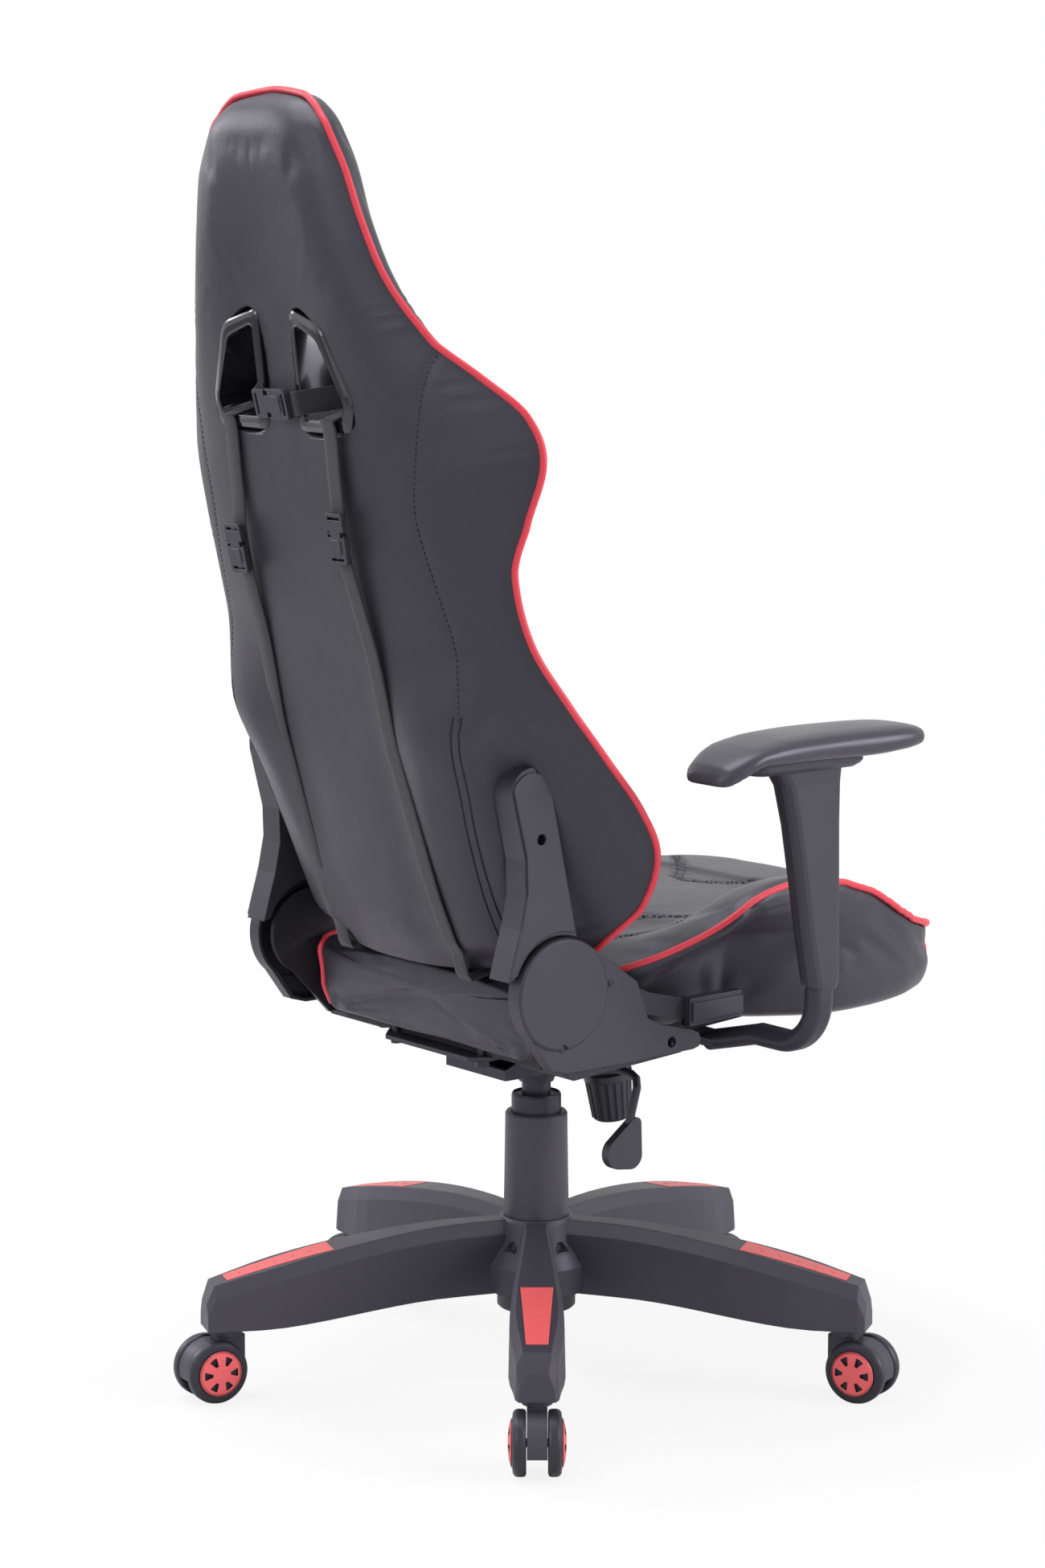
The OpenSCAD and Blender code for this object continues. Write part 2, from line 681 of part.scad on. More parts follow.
bar_x = 275;
bend_r = arm_x - bar_x;
bar_z = mech_z + 76.5;
bar_top = seat_z + 250;

// Oval of the arm bar, long side along X
module bar_oval(gap = 0) {
  square([bar_w - bar_t, bar_t + 2 * gap], center = true);
  for (s = [-1, 1]) translate([s * (bar_w - bar_t) / 2, 0]) circle(bar_t / 2 + gap);
}

module arm_bar(right) {
  plate_z = seat_z + arm_y * sin(rake) - 4;
  color("#26262a") on_side(right) {
    translate([-arm_x, -arm_y, bar_z + bend_r]) rotate([0, 0, 90])
      linear_extrude(bar_top - bar_z - bend_r) bar_oval();
    translate([-bar_x, -arm_y, bar_z + bend_r]) rotate([90, 0, 180])
      rotate_extrude(angle = -90) translate([bend_r, 0]) rotate([0, 0, 90]) bar_oval();
    translate([-bar_x, -arm_y, bar_z]) rotate([0, 90, 0]) linear_extrude(36)
      rotate([0, 0, 90]) bar_oval();
    translate([34 - bar_x, -arm_y, bar_z]) rotate([0, 90 + atan2(bar_z - plate_z, 60), 0])
      linear_extrude(66) rotate([0, 0, 90]) bar_oval();
    on_seat() difference() {
      translate([-190, -arm_y - bar_w / 2, -arm_plate_t])
        cube([98, bar_w, arm_plate_t]);
      bolt_holes(bar_bolts);
    }
  }
}

// Rounded rectangle as a ring of points, in the plane z
function rr_ring(x0, x1, y0, y1, r, z) =
  [for (c = [[x1 - r, y1 - r, 0], [x0 + r, y1 - r, 90], [x0 + r, y0 + r, 180],
             [x1 - r, y0 + r, 270]])
    for (a = [0, 30, 60, 90]) [c[0] + r * cos(c[2] + a), c[1] + r * sin(c[2] + a), z]];

sleeve_low = seat_z + 72;
sleeve_top = seat_z + 275;
flange_z = seat_z + arm_pad_z - arm_pad_t + 0.5;
sleeve_hx = bar_t / 2 + 3;
button_hx = bar_t / 2 + 6;

module arm_sleeve(right) {
  front = -arm_y - bar_w / 2 - 1.8;
  color("#232326") on_side(right) difference() {
    union() {
      loft([for (q = [[0, 2, 3], [0.012, 0.8, 1], [0.03, 0, 0], [0.25, 0, -9], [0.5, 0, -17],
                      [0.75, 0, -26], [0.93, -0.5, -35], [1, -1.5, -44]])
        rr_ring(-arm_x - sleeve_hx + q[1], -arm_x + sleeve_hx - q[1],
          front - 3 + q[0] * 3 + q[1], -arm_y + bar_w / 2 + 2.2 - q[2], 9,
          sleeve_low + (sleeve_top - sleeve_low) * q[0])]);
      loft([for (q = [[0, 6], [0.35, 1.5], [0.6, 0], [1, 0]])
        rr_ring(-arm_x - 22 + q[1], -arm_x + 22 - q[1], front - 22 + q[1], 24 - q[1], 12,
          sleeve_top - 1 + (flange_z - sleeve_top + 1) * q[0])]);
      button_place() translate([0, 0, sleeve_hx - button_hx - 0.5])
        cylinder(d1 = button_d + 9, d2 = button_d + 6, h = button_hx - sleeve_hx + 0.5);
    }
    translate([-arm_x, -arm_y, sleeve_low - 1]) rotate([0, 0, 90])
      linear_extrude(bar_top + 1 - sleeve_low + 2) bar_oval(fit);
    button_place() cylinder(d = button_d + 2 * fit, h = 9.6, center = true);
  }
}

button_d = 14;
module button_place()
  translate([-arm_x + button_hx, -arm_y, sleeve_top - 55]) rotate([0, 90, 0]) children();

module arm_button(right) {
  color("#4a4a4e") on_side(right) button_place() {
    translate([0, 0, -1.8]) cylinder(d = button_d, h = 4);
    translate([0, 0, 2.2]) cylinder(d1 = button_d, d2 = button_d - 2, h = 0.8);
  }
}

// Sections of an arm pad from rear to front: place, half width, underside, top, offset
pad_rows = [[0, 22, -14, -6, 1], [0.03, 30, -15, 3, 0.5], [0.1, 37, -7, 12, 0],
  [0.17, 40, 0.3, 18, -1], [0.3, 41.5, 0.3, 23, -2.5], [0.5, 42, 0.3, 25, -4],
  [0.76, 41, 0.3, 25, -2], [0.9, 37, 3, 24, 1], [0.97, 29, 5, 21, 3], [1, 18, 8, 17, 4]];

module arm_pad(right) {
  rear = 71;
  color("#26262a") on_side(right) loft([for (i = [0 : 30])
    let (t = i / 30, r = row_at(pad_rows, t), k = arm_pad_t / 26, w = r[0] * arm_pad_w / 84,
         y = rear - arm_pad_l * t, low = flange_z + r[1], h = (r[2] - r[1]) * k,
         x = -arm_x - r[3])
    [for (p = [[0.8, 0], [0.95, 0.12], [1, 0.38], [0.97, 0.66], [0.84, 0.88], [0.6, 0.98],
               [0.2, 1.02], [-0.2, 1.02], [-0.6, 0.98], [-0.84, 0.88], [-0.97, 0.66],
               [-1, 0.38], [-0.95, 0.12], [-0.8, 0]])
      [x + p[0] * w, y, low + p[1] * h]]]);
}

// ---------- recliner ----------

pin_d = 12;
plate_x = hinge_x - 28.5;
bracket_x = hinge_x - 22.5;
cover_in = hinge_x - 16.5;
panel_out = hinge_x - 3;
hinge_r = hinge_d / 2;

module at_hinge() translate([0, hinge_y, hinge_z]) children();

// Outline of the cover's flat part, from the hinge axis
module cover_outline(inset = 0) {
  polygon([[-29 + inset, 42 - 2 * inset], [-87 + inset, 1 - inset], [-97 + inset, -24 - inset],
    [-100 + inset, -35 - inset], [-117, -43 - inset], [-154, -53 - inset * 0.6],
    [-161 + inset, -56 - inset * 0.4], [-164.5 + inset, -62], [-162 + inset, -69 + inset],
    [-155, -71 + inset], [-71, -73 + inset], [-4, -73 + inset], [13 - inset, -68 + inset],
    [44 - 2 * inset, -25]]);
}

module hinge_plate(right) {
  color("#3b3b40") on_side(right) {
    difference() {
      union() {
        at_hinge() translate([-plate_x - 5, 0, 0]) rotate([0, 90, 0])
          cylinder(r = hinge_r - 9, h = 5);
        at_hinge() upright(-plate_x - 5, 5)
          polygon([[-30, 25], [-78, -13], [-94, -23], [-94, -50], [-150, -62], [-158, -68],
                   [-25, -84], [20, -36]]);
        at_hinge() upright(-plate_x - 5, 5) translate(release_pivot) circle(10);
        on_seat() translate([-plate_x - 5, -21, -5]) cube([plate_x + 5 - 110, 129, 5]);
      }
      on_seat() bolt_holes(hinge_bolts);
      on_seat() translate([-plate_x - 6, -60, -25]) cube([20, 200, 20]);
    }
    at_hinge() translate([-cover_in + 1, 0, 0]) rotate([0, 90, 0])
      cylinder(d = pin_d, h = cover_in - plate_x - 3);
    at_hinge() translate([-strap_x - 5, release_pivot[0], release_pivot[1]]) rotate([0, 90, 0])
      cylinder(d = release_d, h = strap_x - plate_x);
    for (p = cover_studs) at_hinge() translate([-cover_in - 2, p[0], p[1]]) rotate([0, 90, 0])
      cylinder(d = 7, h = cover_in - plate_x);
  }
}

// Posts and screws that hold the cover to the plate
cover_studs = [[-134, -65]];
cover_screws = [[-56, 3], [1, -50]];

module hinge_cover(right) {
  color("#2a2a2e") on_side(right) difference() {
    union() {
      at_hinge() upright(-panel_out, panel_out - cover_in) cover_outline();
      at_hinge() translate([-hinge_x, 0, 0]) rotate([0, 90, 0]) {
        cylinder(r1 = hinge_r - 2, r2 = hinge_r, h = 1.6);
        translate([0, 0, 1.6]) cylinder(r = hinge_r, h = hinge_x - cover_in - 1.6);
      }
    }
    at_hinge() upright(-panel_out + 3, panel_out) cover_outline(3);
    at_hinge() translate([-hinge_x + 3.5, 0, 0]) rotate([0, 90, 0])
      cylinder(r = hinge_r - 3, h = hinge_x);
    at_hinge() translate([-hinge_x - 1, -129, -61]) rotate([0, 90, 0])
      cylinder(d = 10, h = 30);
    for (p = cover_screws) at_hinge() translate([-hinge_x - 1, p[0], p[1]])
      rotate([0, 90, 0]) cylinder(d = 9, h = 3.4);
    at_hinge() translate([-panel_out + 3, -112, -41]) cube([panel_out, 26, 45]);
  }
}

strap_x = cover_in + 3.5;
release_pivot = [-86, -18];
release_d = 6;

module recline_lever() {
  color("#303034") at_hinge() difference() {
    union() {
      upright(-strap_x - 4, 4) polygon([[-84, -9], [-96, -8], [-108, -13], [-150, -24],
        [-160, -27], [-160, -44], [-140, -42], [-108, -34], [-84, -27]]);
      upright(-strap_x - 4, 4) translate(release_pivot) circle(9);
    }
    translate([0, release_pivot[0], release_pivot[1]]) rotate([0, 90, 0])
      cylinder(d = release_d + 2 * fit, h = 3 * hinge_x, center = true);
  }
}

module recline_grip() {
  color("#1f1f23") at_hinge() difference() {
    union() {
      upright(-strap_x - 12, 12) polygon([[-149, -23], [-212, -22], [-212, -47], [-149, -49]]);
      upright(-strap_x - 16, 16) polygon([[-150, -27], [-211, -26], [-211, -43], [-150, -44]]);
    }
    upright(-strap_x - 4, 4) polygon([[-148, -23.4], [-150, -24], [-160, -27], [-160, -44],
      [-148, -42.8]]);
  }
}

// Bracket on the back side, back frame
module back_bracket(right) {
  color("#3b3b40") on_side(right) on_back() {
    difference() {
      union() {
        upright(-bracket_x - 5, 5) polygon([[-22, 0], [-27, 60], [-26, 165], [2, 165], [2, 95],
                                            [14, 60], [22, 0]]);
        translate([-bracket_x - 5, 0, 0]) rotate([0, 90, 0]) cylinder(r = 26, h = 5);
      }
      translate([-bracket_x - 6, 0, 0]) rotate([0, 90, 0]) cylinder(d = pin_d + 2 * fit, h = 8);
    }
    for (z = stud_z) translate([-bracket_x - 1, stud_y, z]) rotate([0, 90, 0]) {
      cylinder(d = stud_d, h = bracket_x + 1 - frame_x);
      translate([0, 0, -8]) cylinder(d = stud_d - 1, h = 5);
    }
  }
}

stud_d = 10;
stud_y = -13;
stud_z = [90, 143];
frame_x = 130 * back_w;
frame_y = -19;

module bracket_outline() {
  difference() {
    union() {
      translate([-14, 187]) circle(22);
      polygon([[-36, 186], [-31, 30], [52, 30], [40, 51], [28, 71], [15, 98], [8, 130],
               [8, 187]]);
    }
    circle(hinge_r + 2);
  }
}

module bracket_cover(right) {
  color("#2a2a2e") on_side(right) on_back() difference() {
    union() {
      upright(-hinge_x + 8, 28) bracket_outline();
      upright(-hinge_x + 6, 30) intersection() {
        bracket_outline();
        translate([2, -4]) bracket_outline();
        translate([-2, 3]) bracket_outline();
      }
    }
    upright(-bracket_x - 5.1, 5.2) polygon([[-27.5, 20], [-27.5, 165.5], [2.5, 165.5],
      [2.5, 95], [15, 60], [30, 20]]);
    translate([-hinge_x, stud_y, stud_z[1]]) rotate([0, 90, 0]) cylinder(d = stud_d, h = 60);
    translate([-bracket_x - 4, stud_y, stud_z[0]]) rotate([0, 90, 0])
      cylinder(d = stud_d, h = 60);
    translate([-bracket_x - 9.5, stud_y, stud_z[0]]) rotate([0, 90, 0])
      cylinder(d = stud_d, h = 10);
  }
}

// ---------- back ----------

module back_frame() {
  color("#55555a") on_back() {
    for (s = [-1, 1]) translate([s * frame_x, frame_y, 40]) difference() {
      cylinder(d = back_tube_d, h = 450);
      for (z = stud_z) translate([0, stud_y - frame_y, z - 40]) rotate([0, s * 90, 0])
        cylinder(d = stud_d, h = 30);
    }
    for (z = [62, 470]) translate([0, frame_y, z]) rotate([0, 90, 0])
      cylinder(d = back_tube_d, h = 2 * frame_x, center = true);
  }
}

// Stations up the back: height, half width, piping depth, rear depth in the middle,
// roll in front of the piping, front depth in the middle, how square the rear's curve is,
// how deep the rear is dished in the middle
back_rows = [
  [8, 180, -60, 25, 5, -58, 2.6, 0],
  [45, 214, -100, 34, 8, -60, 2.6, 0],
  [95, 239, -111, 36, 8, -58, 2.6, 0],
  [145, 249, -96, 37, 8, -56, 2.6, 0],
  [200, 246, -72, 37, 10, -52, 2.9, 0],
  [254, 246, -45, 37, 12, -46, 3.4, 0],
  [320, 229, -27, 37, 12, -41, 4, 0],
  [386, 226, -25.5, 37, 12, -38, 4, 0],
  [425, 241, -36, 36, 12, -38, 3.5, 0],
  [482, 261, -53, 34, 10, -40, 3, 2],
  [522, 248, -54, 30, 9, -24, 3.1, 5],
  [557, 215, -40, 25, 10, -18, 3.8, 6.5],
  [592, 179, -23, 21, 14, -20, 5, 7],
  [646, 146, -13, 18, 20, -32, 6.5, 8],
  [697, 126, -13, 14, 23, -48, 6.5, 6],
  [746, 109, -18, 8, 25, -57, 6.5, 3],
  [785, 86, -24, 0, 24, -58, 6, 0],
  [800, 68, -29, -10, 18, -55, 5, 0],
  [808, 54, -32, -19, 13, -51, 4, 0],
  [813, 38, -35, -27, 8, -47, 3, 0],
  [816, 14, -38, -33, 3, -43, 2.5, 0]];

function back_at(z) = let (r = row_at(back_rows, z))
  [r[0] * back_w, r[1], r[2], r[3], r[4], r[5], r[6]];
function rear_y(r, x) = r[2] - (r[2] - r[1]) * pow(min(1, abs(x) / r[0]), r[5])
  - r[6] * pow(max(0, 1 - pow(x / dish_hw, 2)), 2);
function front_y(r, x) =
  let (u = min(1, abs(x) / r[0]))
  u > 0.8 ? r[1] - r[3] * sqrt(max(0, 1 - pow((u - 0.8) / 0.2, 2)))
          : ease(r[4], r[1] - r[3], (u - 0.52) / 0.28);

function back_ring(z, n = 8) =
  let (r = back_at(z), k = back_l / 816)
  concat(
    [for (i = [-n : n]) let (x = r[0] * sin(90 * i / n)) [x, rear_y(r, x), z * k]],
    [for (i = [n - 1 : -1 : 1 - n]) let (x = r[0] * sin(90 * i / n)) [x, front_y(r, x), z * k]]);

// Half width of the dished middle
dish_hw = 95;

// Corners of an opening's outline, inner or outer edge of its bezel
opening_in = opening_gap / 2;
opening_low = 532;
hole_inner = [[opening_in, opening_low], [opening_in, 615], [68, 604], [97, 547],
  [92, opening_low]];
hole_outer = [[opening_in - bezel_w, opening_low - bezel_w * 1.5],
  [opening_in - bezel_w, 615 + bezel_w * 1.7], [68 + bezel_w * 0.85, 604 + bezel_w * 1.5],
  [97 + bezel_w * 1.25, 547], [92 + bezel_w, opening_low - bezel_w * 1.5]];

// Closed outline with its corners rounded by r
function rounded(c, r, k = 4) =
  let (n = len(c))
  [for (i = [0 : n - 1])
    let (p = c[i], a = c[(i + n - 1) % n] - p, b = c[(i + 1) % n] - p,
         s = p + a / norm(a) * r, e = p + b / norm(b) * r)
    for (j = [0 : k]) let (t = j / k) s * (1 - t) * (1 - t) + p * 2 * t * (1 - t) + e * t * t];

outer_edge = rounded(hole_outer, 9);
inner_edge = rounded(hole_inner, 6);

module bezel(right) {
  n = len(outer_edge);
  // Share of the way in from the outer edge, and how proud the frame stands there
  bars = [[0, 0.3], [0.12, 1.8], [0.45, bezel_lip - 0.5], [0.85, bezel_lip], [1, bezel_lip - 0.7]];
  loops = concat(
    [for (b = bars) [for (i = [0 : n - 1]) let (p = outer_edge[i] * (1 - b[0]) + inner_edge[i] * b[0])
      [-p[0], rear_y(back_at(p[1]), p[0]) + b[1], p[1]]]],
    [for (b = reversed(bars)) [for (i = [0 : n - 1])
      let (p = outer_edge[i] * (1 - b[0]) + inner_edge[i] * b[0])
      [-p[0], front_y(back_at(p[1]), p[0]) - b[1], p[1]]]]);
  m = len(loops);
  color("#151518") on_side(right) on_back() polyhedron(
    points = [for (l = loops) each l],
    faces = [for (j = [0 : m - 1]) for (i = [0 : n - 1]) for (f = [0, 1])
      let (a = j * n + i, b = j * n + (i + 1) % n,
           c = ((j + 1) % m) * n + (i + 1) % n, d = ((j + 1) % m) * n + i)
      f == 0 ? [a, b, c] : [a, c, d]]);
}

module back_cushion() {
  n = 46;
  color("#2a2a30") on_back() difference() {
    loft([for (i = [0 : n]) reversed(back_ring(8 + 808 * i / n))]);
    for (s = [-1, 1]) rotate([90, 0, 0]) linear_extrude(300, center = true)
      polygon([for (p = outer_edge) [s * p[0], p[1]]]);
    for (s = [-1, 1]) {
      translate([s * frame_x, frame_y, 39.5]) cylinder(d = back_tube_d, h = 451);
      for (z = stud_z) translate([s * frame_x, stud_y, z]) rotate([0, s * 90, 0])
        cylinder(d = stud_d, h = 60);
      upright(s > 0 ? hinge_x - 37 : -hinge_x - 63, 100) cover_room_outline();
    }
    for (z = [62, 470]) translate([0, frame_y, z]) rotate([0, 90, 0])
      cylinder(d = back_tube_d, h = 2 * frame_x, center = true);
  }
}

// Room for a bracket cover and the hinge disc beside the cushion, seen from the side
module cover_room_outline() {
  translate([-14, 187]) circle(22.6);
  polygon([[-36.6, 186], [-32, 0], [60, 0], [60, 130], [8.6, 187]]);
  circle(hinge_r + 2.6);
}

// ---------- pillows and straps ----------

// Pillow along X: half length, centre and half sizes in depth and height
module pillow(hl, y, z, ry, rz) {
  on_back() loft([for (i = [-14 : 14])
    let (t = sin(90 * i / 14), s = pow(max(0, 1 - pow(abs(t), 5)), 0.45),
         a = max(4, ry * s), b = max(rz * 0.72, rz * (0.35 + 0.65 * s)))
    [for (k = [0 : 15]) let (q = k * 22.5)
      [hl * t, y + a * sign(cos(q)) * pow(abs(cos(q)), 0.8),
       z + b * sign(sin(q)) * pow(abs(sin(q)), 0.62)]]]);
}

module head_pillow() { color("#26262b") pillow(head_pillow_hl, -74, 521, 37, 55); }
module lumbar_pillow() { color("#26262b") pillow(lumbar_hl, -93.6, 145, 37, 84); }

// Flat strap along a path, its width along each point's own direction
module ribbon(path, wides, w) {
  n = len(path);
  loft([for (i = [0 : n - 1])
    let (v = path[min(n - 1, i + 1)] - path[max(0, i - 1)], d = wides[i] / norm(wides[i]) * w / 2,
         c = cross(v, d), u = c / norm(c) * strap_t, p = path[i])
    [p - d, p + d, p + d + u, p - d + u]]);
}

// Stations down a strap: height, place across, how far it stands off the cover
strap_rows = [[20, 93, 1.2], [120, 93, 1.2], [230, 94, 1.4], [316, 93, 2.5], [386, 86, 8],
  [430, 80, 9], [460, 79, 6], [515, 79, 4.6]];
function strap_at(z) = let (r = row_at(strap_rows, z), b = back_at(z))
  [r[0], rear_y(b, r[0]) + r[1], z];
// Tilt of the rear across at a place
function rear_slope(z, x) = (rear_y(back_at(z), x + 1) - rear_y(back_at(z), x - 1)) / 2;

module back_straps() {
  x0 = 79;
  x1 = 93;
  gap = 2.2;
  color("#1c1c1f") on_back() {
    for (s = [-1, 1]) {
      down = [for (z = [515 : -15.5 : 22]) strap_at(z)];
      rear = [for (p = down) [s * p[0], p[1], p[2]]];
      tilts = [for (p = down) [-1, -s * rear_slope(p[2], p[0]) * (p[2] > 440 ? 0.4 : 1), 0]];
      b = back_at(opening_low - 4);
      over = [for (q = [[-1, 1.6, -4], [-1, 0.6, 1.6], [1, 0.6, 1.6], [1, 1.6, -4]])
        [s * x0, q[0] < 0 ? front_y(b, x0) - bezel_lip - q[1]
                          : rear_y(b, x0 - strap_w / 2) + bezel_lip + q[1], opening_low + q[2]]];
      front = [for (z = [240 : 25 : 515]) [s * 92, front_y(back_at(z), 92) - gap, z]];
      under = [for (q = [[20, 6], [10, 3.5], [-20, 3.5], [-50, 3.5], [-61, 5]])
        [s * x1, q[0], q[1]]];
      low = [for (z = [22, 50]) [s * x1, front_y(back_at(z), x1) - gap, z]];
      ribbon(concat(front, over, rear, under, low),
        concat([for (i = [1 : len(front) + len(over)]) [-1, 0, 0]], tilts,
          [for (i = [1 : len(under) + len(low)]) [-1, 0, 0]]), strap_w);
    }
    neck = [for (x = [-95, -62, -38, -32, -15, 0, 15, 32, 38, 62, 95])
      [x, neck_y - (abs(x) > 62 ? 28 + (abs(x) - 62) * 0.9 : abs(x) > 32 ? (abs(x) - 32) * 0.93 : 0),
       neck_z]];
    ribbon(neck, [for (p = neck) [0, 0, 1]], 22);
  }
}

// Height of the head pillow's strap on the back, and its depth over the bezels
neck_z = 547;
neck_y = rear_y(back_at(neck_z), opening_in) + bezel_lip + strap_t + 3.2;

// Side-release buckle lying on its back: width, length, thickness
module buckle(w, l, t) {
  linear_extrude(t) difference() {
    union() {
      translate([0, l * 0.2]) round_rect([w, l * 0.6], 4);
      translate([0, -l * 0.3]) round_rect([w * 0.94, l * 0.4], 3);
      square([w * 0.5, l * 0.5], center = true);
    }
    for (s = [-1, 1]) translate([s * w * 0.36, -l * 0.09]) square([w * 0.16, l * 0.12], center = true);
    translate([0, l * 0.4]) square([w * 0.7, l * 0.06], center = true);
    translate([0, -l * 0.4]) square([w * 0.7, l * 0.06], center = true);
  }
  translate([0, l * 0.16, t - 0.5]) linear_extrude(1.5) round_rect([w * 0.55, l * 0.3], 3);
}

module strap_buckles() {
  color("#151517") on_back() {
    for (q = [[-1, 431], [1, 412]]) let (p = strap_at(q[1]))
      translate([q[0] * p[0], p[1] + strap_t + 1.2, q[1]])
        rotate([-90 + atan2(strap_at(q[1] - 15)[1] - strap_at(q[1] + 15)[1], 30), 0, 0])
          buckle(strap_w + 6, 46, 5);
    translate([0, neck_y + 0.6, neck_z]) rotate([-90, 90, 0]) buckle(28, 50, 6);
  }
}

// ---------- nodes ----------

star_base();
base_inserts();
column_tube();
guide_bush();
column_sleeve();
thrust_bearing();
piston_rod();
gas_cylinder();
mech_housing();
tilt_axle();
tilt_spring();
tension_knob();
tilt_latch();
lift_lever();
lever_paddle();
seat_plate();
seat_board();
seat_bolts();
seat_cushion();
arm_bar(true);  // arm_bar_r
arm_bar(false);  // arm_bar_l
arm_sleeve(true);  // arm_sleeve_r
arm_sleeve(false);  // arm_sleeve_l
arm_pad(true);  // arm_pad_r
arm_pad(false);  // arm_pad_l
arm_button(true);  // arm_button_r
arm_button(false);  // arm_button_l
hinge_plate(true);  // hinge_plate_r
hinge_plate(false);  // hinge_plate_l
hinge_cover(true);  // hinge_cover_r
hinge_cover(false);  // hinge_cover_l
recline_lever();
recline_grip();
back_bracket(true);  // back_bracket_r
back_bracket(false);  // back_bracket_l
bracket_cover(true);  // bracket_cover_r
bracket_cover(false);  // bracket_cover_l
back_frame();
back_cushion();
bezel(true);  // bezel_r
bezel(false);  // bezel_l
head_pillow();
lumbar_pillow();
back_straps();
strap_buckles();
castor_fork(1);  // castor_1_fork
castor_wheel(1, -1);  // castor_1_wheel_a
castor_wheel(1, 1);  // castor_1_wheel_b
castor_fork(2);  // castor_2_fork
castor_wheel(2, -1);  // castor_2_wheel_a
castor_wheel(2, 1);  // castor_2_wheel_b
castor_fork(3);  // castor_3_fork
castor_wheel(3, -1);  // castor_3_wheel_a
castor_wheel(3, 1);  // castor_3_wheel_b
castor_fork(4);  // castor_4_fork
castor_wheel(4, -1);  // castor_4_wheel_a
castor_wheel(4, 1);  // castor_4_wheel_b
castor_fork(5);  // castor_5_fork
castor_wheel(5, -1);  // castor_5_wheel_a
castor_wheel(5, 1);  // castor_5_wheel_b
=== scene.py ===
"""Gaming chair: finished looks over the CAD frame, as an add-on with one operator per group."""
import json
import math

import bmesh
import bpy
import numpy as np
from mathutils import Matrix, Vector
from mathutils.bvhtree import BVHTree
from mathutils.kdtree import KDTree


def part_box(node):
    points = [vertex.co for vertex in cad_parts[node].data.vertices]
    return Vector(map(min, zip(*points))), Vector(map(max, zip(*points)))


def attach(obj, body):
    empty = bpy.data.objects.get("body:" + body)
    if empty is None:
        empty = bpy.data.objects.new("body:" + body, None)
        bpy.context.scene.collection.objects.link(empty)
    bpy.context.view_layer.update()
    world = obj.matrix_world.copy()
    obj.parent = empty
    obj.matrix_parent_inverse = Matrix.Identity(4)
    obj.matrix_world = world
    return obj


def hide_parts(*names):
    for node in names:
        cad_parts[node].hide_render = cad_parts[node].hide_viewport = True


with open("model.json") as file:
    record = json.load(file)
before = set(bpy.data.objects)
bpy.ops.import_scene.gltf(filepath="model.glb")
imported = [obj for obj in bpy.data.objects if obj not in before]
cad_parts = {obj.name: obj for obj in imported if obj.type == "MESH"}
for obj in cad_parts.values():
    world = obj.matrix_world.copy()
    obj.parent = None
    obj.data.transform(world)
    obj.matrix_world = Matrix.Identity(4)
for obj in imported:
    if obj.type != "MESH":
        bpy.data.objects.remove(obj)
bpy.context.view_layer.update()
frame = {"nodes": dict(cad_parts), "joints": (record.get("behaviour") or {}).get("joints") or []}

bl_info = {
    "name": "Gaming chair",
    "version": (1, 0, 0),
    "blender": (4, 5, 0),
    "location": "View3D > Sidebar > Chair",
    "description": "Upholstery, plastics, stitching and stage of a reclining gaming chair",
    "category": "Object",
}

MM = 0.001
JOINTS = {j["name"]: j for j in frame["joints"]}
HINGE = Vector(JOINTS["back_recline"]["pos_m"])
SEAT_BASE = Vector((0.0, 0.0, 0.3455))
LEAN = math.radians(13.9)
RAKE = math.radians(4.0)


# ---------------------------------------------------------------- frames and helpers

def tilted(origin, angle):
    """Matrix from a local frame in millimetres, leaning back by angle, to the row frame."""
    return (
        Matrix.Translation(origin)
        @ Matrix.Rotation(-angle, 4, "X")
        @ Matrix.Diagonal((MM, MM, MM, 1.0))
    )


ON_BACK = tilted(HINGE, LEAN)
ON_SEAT = tilted(SEAT_BASE, RAKE)
OFF_BACK = ON_BACK.inverted()
OFF_SEAT = ON_SEAT.inverted()


def gathered(rows, key):
    """A vector of every vertex as one array."""
    out = np.empty(len(rows) * 3)
    rows.foreach_get(key, out)
    return out.reshape(-1, 3)


def coords(mesh):
    return gathered(mesh.vertices, "co")


def set_coords(mesh, points):
    mesh.vertices.foreach_set("co", np.asarray(points, float).ravel())
    mesh.update()


def normals(mesh):
    return gathered(mesh.vertex_normals, "vector")


def local(matrix, points):
    """Points of the row frame in a local frame."""
    m = np.array(matrix)
    return np.asarray(points) @ m[:3, :3].T + m[:3, 3]


def new_object(name, mesh, material=None):
    obj = bpy.data.objects.new(name, mesh)
    bpy.context.scene.collection.objects.link(obj)
    if material is not None:
        mesh.materials.clear()
        mesh.materials.append(material)
    return obj


def mesh_object(name, points, faces, material, smooth=True):
    mesh = bpy.data.meshes.new(name)
    mesh.from_pydata([tuple(p) for p in points], [], faces)
    mesh.validate()
    if smooth:
        mesh.shade_smooth()
    return new_object(name, mesh, material)


def baked(obj):
    """Replaces an object's mesh by its mesh with the modifiers applied, and drops them."""
    graph = bpy.context.evaluated_depsgraph_get()
    graph.update()
    mesh = bpy.data.meshes.new_from_object(obj.evaluated_get(graph))
    obj.modifiers.clear()
    obj.data = mesh
    return obj


def merged(mesh, distance=1e-5):
    bm = bmesh.new()
    bm.from_mesh(mesh)
    bmesh.ops.remove_doubles(bm, verts=bm.verts, dist=distance)
    bm.to_mesh(mesh)
    bm.free()
    mesh.update()


def join(name, objects):
    """One mesh object out of several, materials kept."""
    bpy.ops.object.select_all(action="DESELECT")
    for obj in objects:
        obj.select_set(True)
    bpy.context.view_layer.objects.active = objects[0]
    bpy.ops.object.join()
    objects[0].name = name
    objects[0].data.name = name
    return objects[0]


